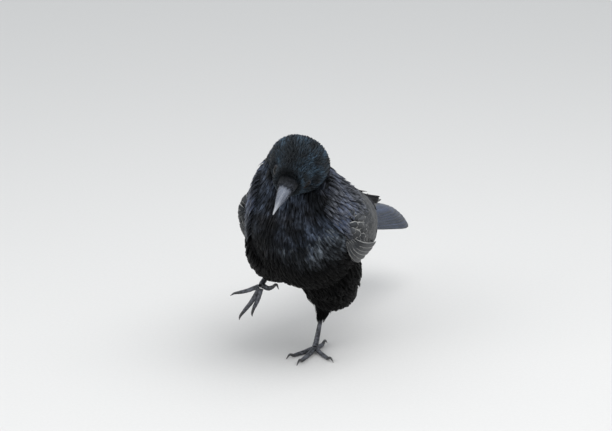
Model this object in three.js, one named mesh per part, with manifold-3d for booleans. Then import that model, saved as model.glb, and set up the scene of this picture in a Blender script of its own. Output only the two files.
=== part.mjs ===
// A carrion crow in mid-stride, life size, in millimetres: weight on its left foot, right foot swinging,
// head cocked and lowered. +Z is up, the crow walks towards -Y, and its left side is +X.
// Points in the comments are (left, ahead, up): left of the standing foot, ahead of it, above the ground.
import * as THREE from "three";
import { mergeVertices } from "three/addons/utils/BufferGeometryUtils.js";
import Module from "manifold-3d";

const wasm = await Module();
wasm.setup();

// ---- Driving dimensions ----
const GAP = 0.3; // clearance left between neighbouring pieces
const MIDLINE = -2; // the body's middle plane, left of the standing foot's toe joint
const TRUNK_SIDES = 24; // points round a section of the body
const LIMB_SIDES = 10; // points round a leg or toe
const EYE_RADIUS = 6.2;
const EYE_SPREAD = 13.0; // from the head's middle plane to an eye's centre
const HEAD = { left: 3, ahead: 78, up: 212, pitch: -13, yaw: 6.5, roll: 24 }; // the point between the eyes
const BILL = { length: 50, width: 18, upperDepth: 11.5, lowerDepth: 8, root: 16, drop: 4.5 };
const TARSUS = { top: 3.6, middle: 2.3, foot: 3.0 }; // radii down the shank
const TAIL_SIZE = { length: 170, root: 17, tip: 34, droop: 8, thick: 4 };
const TAIL = { left: MIDLINE, ahead: -86, up: 119, pitch: 11, roll: 20, ...TAIL_SIZE };

// ---- Vectors and frames ----
const at = (left, ahead, up) => new THREE.Vector3(left, -ahead, up);
const rad = THREE.MathUtils.degToRad;
const mix = (a, b, t) => a + (b - a) * t;

// Forward, left and up of something pitched above the level, yawed to its left and rolled left side down.
function frame(pitch, yaw = 0, roll = 0) {
  const [p, y, r] = [rad(pitch), rad(yaw), rad(roll)];
  const forward = at(Math.sin(y) * Math.cos(p), Math.cos(y) * Math.cos(p), Math.sin(p));
  const level = at(Math.cos(y), -Math.sin(y), 0);
  const above = new THREE.Vector3().crossVectors(forward, level);
  const left = level.clone().multiplyScalar(Math.cos(r)).addScaledVector(above, -Math.sin(r));
  const up = above.clone().multiplyScalar(Math.cos(r)).addScaledVector(level, Math.sin(r));
  return { forward, left, up };
}

// A point given in a frame's own left, forward and up.
function inFrame(origin, axes, left, forward, up) {
  return origin.clone().addScaledVector(axes.left, left)
    .addScaledVector(axes.forward, forward).addScaledVector(axes.up, up);
}

// Catmull-Rom through the rows of a table of numbers, read at u from 0 to 1.
function between(rows, u) {
  const s = Math.min(Math.max(u, 0), 1) * (rows.length - 1);
  const i = Math.min(Math.floor(s), rows.length - 2);
  const t = s - i;
  return rows[i].map((_, k) => {
    const b = rows[i][k];
    const c = rows[i + 1][k];
    const a = i > 0 ? rows[i - 1][k] : 2 * b - c;
    const d = i + 2 < rows.length ? rows[i + 2][k] : 2 * c - b;
    return b + 0.5 * t * (c - a + t * (2 * a - 5 * b + 4 * c - d + t * (3 * (b - c) + d - a)));
  });
}

// ---- Meshes ----
// The face inside a ring of corners, as a fan round its middle, or as a ladder between the two sides of a
// thin bent ring, whose middle lies outside it. Each is a list of faces that look out at the ring's far end.
function fan(corners, points) {
  const sum = corners.reduce((s, corner) => s.add(points[corner]), new THREE.Vector3());
  const centre = points.push(sum.divideScalar(corners.length)) - 1;
  return corners.map((a, j) => [a, corners[(j + 1) % corners.length], centre]);
}
function ladder(corners) {
  const faces = [];
  for (let [near, far] = [0, corners.length - 1]; near + 1 < far; near++, far--)
    faces.push([near, near + 1, far], [near + 1, far - 1, far]);
  return faces.map((face) => face.map((j) => corners[j]));
}

// A closed skin through rings of points, each ring anticlockwise as seen from the last one.
function skin(rings, endFace = fan) {
  const sides = rings[0].length;
  const points = rings.flat();
  const last = points.length - sides;
  const faces = [];
  for (let start = 0; start < last; start += sides)
    for (let j = 0; j < sides; j++) {
      const [a, b] = [start + j, start + ((j + 1) % sides)];
      faces.push(a, b, a + sides, b, b + sides, a + sides);
    }
  const ring = (start) => Array.from({ length: sides }, (_, j) => start + j);
  for (const [a, b, c] of endFace(ring(0), points)) faces.push(b, a, c);
  for (const [a, b, c] of endFace(ring(last), points)) faces.push(a, b, c);
  const geometry = new THREE.BufferGeometry().setFromPoints(points);
  geometry.setIndex(faces);
  return geometry;
}

const SLIVER = 0.02; // edges of a cut that are shorter than this are closed up

// The solid inside a closed mesh, and the mesh of a solid's largest body.
function solid(geometry) {
  const bare = geometry.clone();
  bare.deleteAttribute("normal");
  bare.deleteAttribute("uv");
  const merged = mergeVertices(bare, 1e-4);
  const made = new wasm.Manifold(new wasm.Mesh({
    numProp: 3,
    vertProperties: merged.attributes.position.array,
    triVerts: new Uint32Array(merged.index.array),
  }));
  return made;
}

function geometryOf(made) {
  const bodies = made.simplify(SLIVER).decompose();
  const largest = bodies.reduce((a, b) => (b.volume() > a.volume() ? b : a));
  const { numProp, vertProperties, triVerts } = largest.getMesh();
  const positions = new Float32Array((vertProperties.length / numProp) * 3);
  for (let i = 0; i * 3 < positions.length; i++)
    positions.set(vertProperties.subarray(i * numProp, i * numProp + 3), i * 3);
  const geometry = new THREE.BufferGeometry();
  geometry.setAttribute("position", new THREE.BufferAttribute(positions, 3));
  geometry.setIndex(new THREE.BufferAttribute(new Uint32Array(triVerts), 1));
  return geometry;
}

// A ring of an egg-like section: half-width, height above the centre and depth below it. Its points start a
// part of a step round, so that a half-step puts a flat at the bottom.
function sectionRing(centre, axes, width, above, below, sides, squareness = 1, start = 0) {
  return Array.from({ length: sides }, (_, j) => {
    const turn = (2 * Math.PI * (j + start)) / sides;
    const [c, s] = [Math.cos(turn), Math.sin(turn)];
    const x = Math.sign(c) * Math.abs(c) ** squareness * width;
    const z = Math.sign(s) * Math.abs(s) ** squareness * (s > 0 ? above : below);
    return inFrame(centre, axes, x, 0, z);
  });
}

// A tube through points with a radius at each, its ends rounded off.
function tube(points, radii, { sides = LIMB_SIDES, steps = 12, grow = 0 } = {}) {
  const curve = new THREE.CatmullRomCurve3(points, false, "centripetal");
  const rings = [];
  for (let i = 0; i <= steps; i++) {
    const u = i / steps;
    const tangent = curve.getTangent(u);
    const left = new THREE.Vector3().crossVectors(new THREE.Vector3(0, 0.02, 1), tangent).normalize();
    const axes = { left, forward: tangent, up: new THREE.Vector3().crossVectors(tangent, left) };
    const radius = between(radii.map((r) => [r]), u)[0] + grow;
    const ring = sectionRing(curve.getPoint(u), axes, radius, radius, radius, sides, 1, 0.5);
    rings.push(ring);
  }
  return skin(rings);
}

// ---- Body, neck and head: one bent form, read along its length from the tail root to the bill ----
// Body rows: left of the midline, ahead, up, pitch, yaw, roll, half-width, height above, depth below.
const BODY_FORM = [
  [0, -114, 120, 18, 0, 2, 11, 8, 9],
  [0, -88, 128, 20, 0, 2, 30, 18, 24],
  [0, -55, 136, 23, 0, 1, 43, 28, 46],
  [0, -18, 143, 25, 0, 0, 55, 38, 65],
  [0, 14, 152, 29, 0, 0, 60, 43, 72],
  [0, 37, 169, 38, 0, 3, 53, 43, 66],
  [-4, 46, 190, 36, 3, 8, 40, 38, 50],
  [-1, 52, 207, 16, 6, 16, 33, 34, 38],
];
// Head rows, in the head's own directions: left of its middle plane, forward of the eyes, above them, and the
// same half-width, height and depth.
const HEAD_FORM = [
  [1.5, -23, 6, 30.5, 30, 33],
  [1.5, -15, 6, 29, 29.5, 31],
  [1.5, -7, 4, 25, 28.5, 26],
  [0.5, 0, 1, 18.6, 26.5, 20],
  [0, 8, -1, 16.5, 21.5, 16],
  [0, 12.5, -2, 13.5, 16.5, 13],
  [0, 15.5, -2.5, 9, 10, 9],
];
const headAxes = frame(HEAD.pitch, HEAD.yaw, HEAD.roll);
const eyeMiddle = at(HEAD.left, HEAD.ahead, HEAD.up);
const FORM = [...BODY_FORM, ...HEAD_FORM.map(([left, forward, up, ...size]) => {
  const p = inFrame(eyeMiddle, headAxes, left, forward, up);
  return [p.x - MIDLINE, -p.y, p.z, HEAD.pitch, HEAD.yaw, HEAD.roll, ...size];
})];
const NECK_CUT = { ahead: 45, up: 182, pitch: 62 }; // where the neck leaves the trunk
const HEAD_CUT = { ahead: 50, up: 209, pitch: 28 }; // where the head leaves the neck
const TAIL_CUT = { ahead: -104, up: 122, pitch: 11 }; // where the tail leaves the trunk

function bodyRing(u, grow) {
  const [left, ahead, up, pitch, yaw, roll, width, above, below] = between(FORM, u);
  const centre = at(MIDLINE + left, ahead, up);
  return sectionRing(centre, frame(pitch, yaw, roll), width + grow, above + grow, below + grow, TRUNK_SIDES);
}

function bodyForm(grow = 0) {
  const steps = 34;
  return skin(Array.from({ length: steps + 1 }, (_, i) => bodyRing(i / steps, grow)));
}

// The side of a solid ahead of a cut (or behind it), half a gap away from the cut.
function cutOff(made, cut, keepAhead) {
  const normal = frame(cut.pitch).forward.multiplyScalar(keepAhead ? 1 : -1);
  return made.trimByPlane(normal.toArray(), normal.dot(at(0, cut.ahead, cut.up)) + GAP / 2);
}
const wholeBody = solid(bodyForm(GAP));
const body = solid(bodyForm());
const trunkSolid = cutOff(cutOff(body, NECK_CUT, false), TAIL_CUT, true);
const neckSolid = cutOff(cutOff(body, NECK_CUT, true), HEAD_CUT, false);
const headForm = cutOff(cutOff(body, NECK_CUT, true), HEAD_CUT, true);

// ---- Head, eyes and bill ----
function eye(side, grow = 0) {
  const ball = new THREE.SphereGeometry(EYE_RADIUS + grow, 14, 9);
  const centre = inFrame(eyeMiddle, headAxes, side * EYE_SPREAD, 0, 0);
  return ball.translate(centre.x, centre.y, centre.z);
}

// One half of the bill: profile gives [upper edge, lower edge] above the gape line, at t from root to tip.
function billHalf(length, widthAt, profile, grow = 0) {
  const steps = 10;
  const rings = [];
  for (let i = 0; i <= steps; i++) {
    const t = i / steps;
    const [top, bottom] = profile(t);
    const middle = (top + bottom) / 2;
    const centre = inFrame(eyeMiddle, headAxes, 0, BILL.root - 8 + (length + 8) * t, middle - BILL.drop);
    const half = (top - bottom) / 2 + grow;
    rings.push(sectionRing(centre, headAxes, widthAt(t) + grow, half, half, 14, 0.85));
  }
  return skin(rings);
}
const billWidth = (t) => (BILL.width / 2) * (1 - 0.94 * t ** 1.25);
const culmen = (t) => BILL.upperDepth * (1 - 0.1 * t - 0.98 * t ** 3.2) - 1.6 * t ** 6;
const gape = (t) => -0.2 + 0.9 * Math.sin(Math.PI * t) - 2.2 * t ** 5;
const gonys = (t) => -BILL.lowerDepth * (1 - 0.25 * t - 0.72 * t ** 3);
const upperBill = (grow = 0) =>
  billHalf(BILL.length, billWidth, (t) => [culmen(t), Math.min(gape(t), culmen(t) - 0.8)], grow);
const lowerBill = (grow = 0) =>
  billHalf(BILL.length - 3.5, (t) => billWidth(t) * 0.9, (t) => [gape(t * 0.94) - GAP, gonys(t)], grow);

const headSolid = headForm
  .subtract(solid(eye(1, GAP))).subtract(solid(eye(-1, GAP)))
  .subtract(solid(upperBill(GAP))).subtract(solid(lowerBill(GAP)));

// ---- Wings: folded blades over the flanks, from the wrist to the primaries' tips ----
// Edges as [out from the midline, ahead, up], front to back; the right wing mirrors the left.
const WING_TOP = [
  [44, 50, 166], [41, 38, 182], [33, 0, 184], [24, -46, 170], [16, -92, 151], [9, -142, 132], [6, -190, 116],
];
const WING_LOW = [
  [51, 50, 148], [57, 38, 128], [57, 4, 114], [47, -46, 110], [31, -92, 110], [19, -142, 112], [9, -192, 111],
];
const WING_BULGE = [8, 15, 20, 18, 12, 5, 1.5];
const WING_THICK = [8, 14, 17, 14, 8, 3.6, 2.2];
const WING_HELD = { left: { out: 0, up: 0 }, right: { out: 3.5, up: 4 } }; // how far each wing is lifted off

function wing(side) {
  const [lengths, widths] = [14, 8];
  const top = new THREE.CatmullRomCurve3(WING_TOP.map(([x, y, z]) => at(x, y, z)));
  const low = new THREE.CatmullRomCurve3(WING_LOW.map(([x, y, z]) => at(x, y, z)));
  const rings = [];
  for (let i = 0; i <= lengths; i++) {
    const u = i / lengths;
    const [a, b] = [top.getPoint(u), low.getPoint(u)];
    const out = new THREE.Vector3(b.z - a.z, 0, a.x - b.x).normalize().negate();
    const bulge = between(WING_BULGE.map((v) => [v]), u)[0];
    const thick = between(WING_THICK.map((v) => [v]), u)[0];
    const outer = [];
    const inner = [];
    for (let j = 0; j <= widths; j++) {
      const v = j / widths;
      const arch = 4 * v * (1 - v);
      const point = a.clone().lerp(b, v).addScaledVector(out, bulge * arch);
      outer.push(point);
      inner.unshift(point.clone().addScaledVector(out, -thick * (0.25 + 0.75 * Math.sqrt(arch))));
    }
    rings.push([...outer, ...inner]);
  }
  const held = side > 0 ? WING_HELD.left : WING_HELD.right;
  const place = (p) => new THREE.Vector3(MIDLINE + side * (p.x + held.out), p.y, p.z + held.up);
  const placed = rings.map((ring) => ring.map(place));
  return skin(side > 0 ? placed : placed.map((ring) => ring.reverse()), ladder);
}

// ---- Tail: a shallow fan with a rounded end, a little twisted ----
function tail() {
  const axes = frame(TAIL.pitch, 0, TAIL.roll);
  const root = at(TAIL.left, TAIL.ahead, TAIL.up);
  const steps = 9;
  const rings = [];
  for (let i = 0; i <= steps; i++) {
    const t = i / steps;
    const width = mix(TAIL.root, TAIL.tip, t ** 0.8);
    const ring = [];
    for (const face of [1, -1])
      for (let j = 0; j <= 8; j++) {
        const across = face * mix(1, -1, j / 8);
        const back = TAIL.length * t * (1 - 0.1 * across ** 2 * t ** 3);
        const droop = -TAIL.droop * across ** 2 * mix(0.4, 1, t);
        const height = face * mix(TAIL.thick, 1.2, t) / 2 * (1 - 0.5 * across ** 2);
        ring.push(inFrame(root, axes, across * width, -back, droop + height));
      }
    rings.push(ring);
  }
  return skin(rings.reverse(), ladder);
}

// ---- Legs ----
const LEGS = {
  left: {
    thigh: [
      [13, 20, 128], [16, 7, 98], [15, -5, 78], [11, -11, 64], [7, -14, 54], [4, -15, 46], [2.6, -13, 38],
    ],
    thighRadii: [28, 33, 29, 25, 15, 8, 4.5],
    shank: [[4, -24, 60], [2.2, -11, 34], [0, -1.5, 8], [0, 1.5, 5]],
  },
  right: {
    thigh: [[-24, 34, 130], [-34, 18, 112], [-42, -4, 99], [-45, -22, 94]],
    thighRadii: [38, 32, 22, 9],
    shank: [[-44, -28, 95], [-47, -2, 87], [-50, 24, 77], [-50, 28, 75]],
  },
};

// Each toe: its joints as [left, ahead, up] from the foot's middle, and the claw's last two points.
const STANDING_TOES = {
  hind: {
    joints: [[0, -1, 3.6], [1, -9, 2.2], [2, -17, 1.8]],
    claw: [[2.4, -24, 4.2], [2.8, -30, 0.3]], r: 2.5,
  },
  inner: {
    joints: [[-2, 2, 3.6], [-9, 13, 2.1], [-15, 23, 1.7]],
    claw: [[-18, 28, 3.6], [-20, 32.5, 0.3]], r: 2.3,
  },
  middle: {
    joints: [[0, 3, 3.6], [-1, 19, 2.1], [-2, 35, 1.8]],
    claw: [[-2.4, 41, 3.8], [-3, 47, 0.3]], r: 2.4,
  },
  outer: {
    joints: [[2, 2, 3.6], [12, 11, 2.0], [21, 19, 1.6]],
    claw: [[25.5, 22.5, 3.4], [29.5, 25.5, 0.3]], r: 2.2,
  },
};
const SWINGING_TOES = {
  hind: {
    joints: [[2, -1, 0], [8, 0, -1.5], [12.5, 0, 0]],
    claw: [[17, 0, 3.5], [20, 1, -1]], r: 2.5,
  },
  inner: {
    joints: [[1, 2, -2], [-1, 7, -13], [-4.5, 9.5, -21.5]],
    claw: [[-6, 10.5, -27], [-7, 8, -31.5]], r: 2.3,
  },
  middle: {
    joints: [[-1, 2, -2], [-7, 9.5, -15], [-14, 14, -25]],
    claw: [[-17.5, 15, -30], [-20, 12, -35.5]], r: 2.4,
  },
  outer: {
    joints: [[-2, 1, 0], [-12, 7, -4], [-20, 10.5, -6]],
    claw: [[-25, 12, -7], [-30, 11, -10.5]], r: 2.2,
  },
};

// Keeps a foot's underside on the ground: whatever lies below it becomes one flat.
function grounded(geometry) {
  const position = geometry.attributes.position;
  for (let i = 0; i < position.count; i++) position.setZ(i, Math.max(position.getZ(i), 0));
  return geometry;
}

const group = new THREE.Group();
const PLUMAGE = new THREE.MeshStandardMaterial({ color: 0x15171c, roughness: 0.5, metalness: 0 });
const FLIGHT = new THREE.MeshStandardMaterial({ color: 0x1d1f25, roughness: 0.4, metalness: 0 });
const HORN = new THREE.MeshStandardMaterial({ color: 0x24262b, roughness: 0.3, metalness: 0 });
const LEG_SKIN = new THREE.MeshStandardMaterial({ color: 0x1b1c20, roughness: 0.5, metalness: 0 });
const EYE = new THREE.MeshStandardMaterial({ color: 0x140c07, roughness: 0.05, metalness: 0 });

function add(name, geometry, material) {
  const mesh = new THREE.Mesh(geometry, material);
  mesh.name = name;
  group.add(mesh);
}

const thighSolids = {};
const builtLegs = {};
for (const [side, leg] of Object.entries(LEGS)) {
  const points = (rows) => rows.map(([x, y, z]) => at(x, y, z));
  const tarsusRadii = [TARSUS.top, TARSUS.middle, TARSUS.foot, TARSUS.foot];
  const shank = (grow) => tube(points(leg.shank), tarsusRadii, { steps: 8, grow });
  const thigh = (grow) => tube(points(leg.thigh), leg.thighRadii, { sides: 18, steps: 11, grow });
  builtLegs[side] = { shank, thigh, foot: at(...leg.shank[leg.shank.length - 1]) };
  thighSolids[side] = thigh;
}

add("trunk", geometryOf(trunkSolid), PLUMAGE);
add("neck", geometryOf(neckSolid), PLUMAGE);
add("head", geometryOf(headSolid), PLUMAGE);
add("bill_upper", geometryOf(solid(upperBill())), HORN);
add("bill_lower", geometryOf(solid(lowerBill()).subtract(solid(upperBill(GAP)))), HORN);
for (const [side, sign] of [["left", 1], ["right", -1]]) {
  const { shank, thigh, foot } = builtLegs[side];
  add(`eye_${side}`, eye(sign), EYE);
  const thighCut = solid(thigh(0)).subtract(wholeBody).subtract(solid(shank(GAP)));
  add(`thigh_${side}`, geometryOf(thighCut), PLUMAGE);
  const wingCut = solid(wing(sign)).subtract(wholeBody).subtract(solid(thigh(GAP)));
  add(`wing_${side}`, geometryOf(wingCut), FLIGHT);

  const standing = side === "left";
  const settle = standing ? grounded : (geometry) => geometry;
  let taken = solid(shank(GAP));
  add(`shank_${side}`, geometryOf(solid(settle(shank(0)))), LEG_SKIN);
  for (const [toe, { joints, claw, r }] of Object.entries(standing ? STANDING_TOES : SWINGING_TOES)) {
    const place = ([x, y, z]) => foot.clone().add(at(x, y, standing ? z - foot.z : z));
    const length = [...joints.map(place)];
    const nail = [length[length.length - 1], ...claw.map(place)];
    const digit = (grow) => solid(settle(tube(length, [r * 1.1, r, r * 0.85], { sides: 8, steps: 6, grow })));
    const talon = solid(settle(tube(nail, [r * 0.75, r * 0.55, 0.35], { sides: 7, steps: 5 })));
    add(`toe_${side}_${toe}`, geometryOf(digit(0).subtract(taken)), LEG_SKIN);
    add(`claw_${side}_${toe}`, geometryOf(talon.subtract(digit(GAP))), HORN);
    taken = taken.add(digit(GAP));
  }
}
add("tail", geometryOf(cutOff(solid(tail()), TAIL_CUT, false)), FLIGHT);

// The part's origin is the middle of its box, on the ground.
const box = new THREE.Box3().setFromObject(group);
const middle = box.getCenter(new THREE.Vector3());
group.position.set(-middle.x, -middle.y, -box.min.z);

export default group;
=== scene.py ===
"""A life-size carrion crow in mid-step: one skin, a coat of solid vanes, wings, tail, bill, eyes and feet.

Everything is worked out in millimetres from the toe joint of the foot that stands on the ground: x runs to
the bird's left, y towards its tail and z up. A Site then puts the points into the frame, in metres.
"""

from __future__ import annotations

import logging
import math
from collections.abc import Callable
from dataclasses import dataclass, field, replace
from enum import Enum

import bpy
import numpy as np
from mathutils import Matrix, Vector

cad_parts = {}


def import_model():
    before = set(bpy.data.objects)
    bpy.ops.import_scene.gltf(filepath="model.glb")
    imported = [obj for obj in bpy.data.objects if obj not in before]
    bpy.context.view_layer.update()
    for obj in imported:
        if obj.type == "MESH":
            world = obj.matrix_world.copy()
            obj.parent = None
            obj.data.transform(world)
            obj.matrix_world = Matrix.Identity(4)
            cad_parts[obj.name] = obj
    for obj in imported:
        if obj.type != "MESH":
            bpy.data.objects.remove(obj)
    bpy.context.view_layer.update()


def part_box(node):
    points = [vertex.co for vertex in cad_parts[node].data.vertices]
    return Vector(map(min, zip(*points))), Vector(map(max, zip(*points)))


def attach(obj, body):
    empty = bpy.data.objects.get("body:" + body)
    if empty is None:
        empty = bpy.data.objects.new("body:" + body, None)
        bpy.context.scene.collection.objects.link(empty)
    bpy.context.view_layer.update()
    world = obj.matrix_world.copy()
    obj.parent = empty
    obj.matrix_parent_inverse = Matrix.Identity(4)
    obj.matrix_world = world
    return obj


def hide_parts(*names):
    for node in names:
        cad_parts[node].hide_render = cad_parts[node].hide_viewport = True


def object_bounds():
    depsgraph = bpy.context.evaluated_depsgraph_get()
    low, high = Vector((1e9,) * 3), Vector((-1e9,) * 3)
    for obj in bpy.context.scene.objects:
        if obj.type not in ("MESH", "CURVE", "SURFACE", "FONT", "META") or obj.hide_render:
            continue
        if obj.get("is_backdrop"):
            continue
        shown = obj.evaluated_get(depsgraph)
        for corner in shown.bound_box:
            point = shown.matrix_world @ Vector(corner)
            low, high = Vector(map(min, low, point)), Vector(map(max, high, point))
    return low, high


LOG = logging.getLogger("crow")
Array = np.ndarray
Colour = tuple[float, float, float]
Place = tuple[float, float, float]  # left, ahead and up, in millimetres
Span = tuple[float, float]
Sizes = tuple[float, ...]
Rings = tuple[int, int]  # how many, and how many points in each
Piece = bpy.types.Object
Finish = bpy.types.Material
Random = np.random.Generator
MM = 0.001
MIDLINE = -2.0
SLIGHT = 1e-3  # the step over which a form's slopes are taken
OVERRUN = 0.04  # how far past its ends a curve may be read
TINY = 1e-9  # keeps a length from being nought
TUFT_PATCH = 0.003  # side of one tuft's patch on the unwrap

EYE_RADIUS = 6.2
EYE_SPREAD = 13.0
HEAD_TURN = (-13.0, 6.5, 24.0)  # pitch, yaw and roll of the head, in degrees
EYE_MIDDLE = (3.0, -78.0, 212.0)  # the point between the eyes

# Body: left of the midline, ahead, up, pitch, yaw, roll, half-width, height above the middle, depth below it.
BODY_RINGS = (
    (0, -114, 120, 18, 0, 2, 11, 8, 9),
    (0, -88, 128, 20, 0, 2, 30, 18, 24),
    (0, -55, 136, 23, 0, 1, 43, 28, 46),
    (0, -18, 143, 25, 0, 0, 55, 38, 65),
    (0, 14, 152, 29, 0, 0, 60, 43, 72),
    (0, 37, 169, 38, 0, 3, 53, 43, 66),
    (-4, 46, 190, 36, 3, 8, 40, 38, 50),
    (-1, 52, 207, 16, 6, 16, 33, 34, 38),
)
# Head: left, forward and up of the point between the eyes, half-width, height above, depth below.
HEAD_RINGS = (
    (1.5, -23, 6, 30.5, 30, 33),
    (1.5, -15, 6, 29, 29.5, 31),
    (1.5, -7, 4, 25, 28.5, 26),
    (0.5, 0, 1, 18.6, 26.5, 20),
    (0, 8, -1, 16.5, 21.5, 16),
    (0, 12.5, -2, 13.5, 16.5, 13),
    (0, 15.5, -2.5, 9, 10, 9),
)


class Side(Enum):
    """Which of two like parts, as the sign of its place to the left of the midline."""

    LEFT = 1
    RIGHT = -1

    @property
    def word(self) -> str:
        """The side's name as the nodes spell it."""
        return self.name.lower()


# ---- Curves and bearings ----


def at(left: float, ahead: float, up: float) -> Array:
    """A point from how far left, ahead and up it is."""
    return np.array([left, -ahead, up], float)


def hermite(p: Array, q: Array, start: Array, end: Array, f: Array) -> Array:
    """The cubic from p to q with the two end slopes, a share f of the way along."""
    f = f[..., None]
    return p + start * f + (3 * (q - p) - 2 * start - end) * f**2 + (2 * (p - q) + start + end) * f**3


def stretch(rows: Array, u: Array) -> tuple[Array, Array, Array]:
    """The stretch of a curve that u falls in, with the rows carried on by one past each end.

    Args:
        rows: the values at the knots.
        u: where to read the curve, 0 to 1.

    Returns:
        The longer rows, the number of the first of the stretch's four rows, and the share of it passed.
    """
    rows = np.vstack([2 * rows[0] - rows[1], rows, 2 * rows[-1] - rows[-2]])
    along = np.clip(u, -OVERRUN, 1 + OVERRUN) * (len(rows) - 3)
    i = np.clip(np.floor(along).astype(int), 0, len(rows) - 4)
    return rows, i, along - i


def between(rows: Array, u: Array) -> Array:
    """A smooth curve through evenly spaced rows: its slope at a row is half the step between the neighbours.

    Args:
        rows: the values at the knots, one row each.
        u: where to read it, 0 at the first row and 1 at the last.

    Returns:
        The values at u, one row each.
    """
    rows, i, share = stretch(np.asarray(rows, float).reshape(len(rows), -1), u)
    p0, p1, p2, p3 = (rows[i + k] for k in range(4))
    return hermite(p1, p2, (p2 - p0) / 2, (p3 - p1) / 2, share)


def spline(knots: Array, u: Array) -> Array:
    """A centripetal curve through the knots: each stretch counts as the square root of its length.

    Args:
        knots: the points, one row each.
        u: where to read it, 0 at the first knot and 1 at the last.

    Returns:
        The points at u.
    """
    knots, i, share = stretch(np.asarray(knots, float), u)
    root = np.sqrt(np.linalg.norm(np.diff(knots, axis=0), axis=1))[:, None]
    p0, p1, p2, p3 = (knots[i + k] for k in range(4))
    d0, d1, d2 = (root[i + k] for k in range(3))
    start = ((p1 - p0) / d0 - (p2 - p0) / (d0 + d1) + (p2 - p1) / d1) * d1
    end = ((p2 - p1) / d1 - (p3 - p1) / (d1 + d2) + (p3 - p2) / d2) * d1
    return hermite(p1, p2, start, end, share)


def unit(v: Array) -> Array:
    """The vectors at length one."""
    return v / np.maximum(np.linalg.norm(v, axis=-1, keepdims=True), TINY)


def bearings(pitch: Array, yaw: Array, roll: Array) -> tuple[Array, Array, Array]:
    """The directions of a thing that is pitched up, turned to its left, then rolled.

    Args:
        pitch: in degrees, like the others.
        yaw: to its left.
        roll: its left side down.

    Returns:
        Its left, forward and up.
    """
    p, y, r = (np.radians(np.asarray(t, float)) for t in (pitch, yaw, roll))
    nought = np.zeros_like(p)
    forward = np.stack([np.sin(y) * np.cos(p), -np.cos(y) * np.cos(p), np.sin(p)], -1)
    level = np.stack([np.cos(y), np.sin(y), nought], -1)
    above = np.cross(forward, level)
    c, s = np.cos(r)[..., None], np.sin(r)[..., None]
    return level * c - above * s, forward, above * c + level * s


HEAD_LEFT, HEAD_FORWARD, HEAD_UP = bearings(*HEAD_TURN)


def in_head(left: Array, forward: Array, up: Array) -> Array:
    """Points given in the head's own directions from between the eyes."""
    left, forward, up = (np.asarray(v, float)[..., None] for v in (left, forward, up))
    return np.array(EYE_MIDDLE) + HEAD_LEFT * left + HEAD_FORWARD * forward + HEAD_UP * up


def smoothstep(low: float, high: float, x: Array) -> Array:
    """0 below low, 1 above high, and an even S between."""
    f = np.clip((x - low) / (high - low), 0, 1)
    return f * f * (3 - 2 * f)


def near(points: Array, middle: Array, reach: Array | float) -> Array:
    """A bell that is 1 at the middle and fades over the reach."""
    return np.exp(-0.5 * np.sum(((points - middle) / reach) ** 2, axis=-1))


# ---- Surfaces ----


@dataclass
class Form:
    """A surface given by two parameters, with its outward side."""

    facing: float = field(default=1.0, kw_only=True)
    flow: float = field(default=1.0, kw_only=True)  # which way feathers lie along the first parameter
    unwrap: Sizes = field(default=(0.02, 0.02, 0.98, 0.98), kw_only=True)

    def point(self, a: Array, b: Array) -> Array:
        """The surface itself, by the formula of each form.

        Args:
            a: along the form.
            b: across or round it.

        Returns:
            The points, in millimetres.
        """
        raise NotImplementedError

    def slopes(self, a: Array, b: Array) -> tuple[Array, Array]:
        """How fast the point moves with a and with b, from a slight step each way."""
        along = (self.point(a + SLIGHT, b) - self.point(a - SLIGHT, b)) / (2 * SLIGHT)
        return along, (self.point(a, b + SLIGHT) - self.point(a, b - SLIGHT)) / (2 * SLIGHT)

    def normal(self, a: Array, b: Array) -> Array:
        """The outward direction: across times along, turned to the outer side."""
        along, across = self.slopes(a, b)
        return unit(np.cross(across, along)) * self.facing

    def flat(self, a: Array, b: Array) -> Array:
        """The place on the unwrap, a across the rectangle and b up it."""
        low_x, low_y, high_x, high_y = self.unwrap
        return np.stack([low_x + (high_x - low_x) * a, low_y + (high_y - low_y) * (b % 1.0)], -1)


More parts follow.
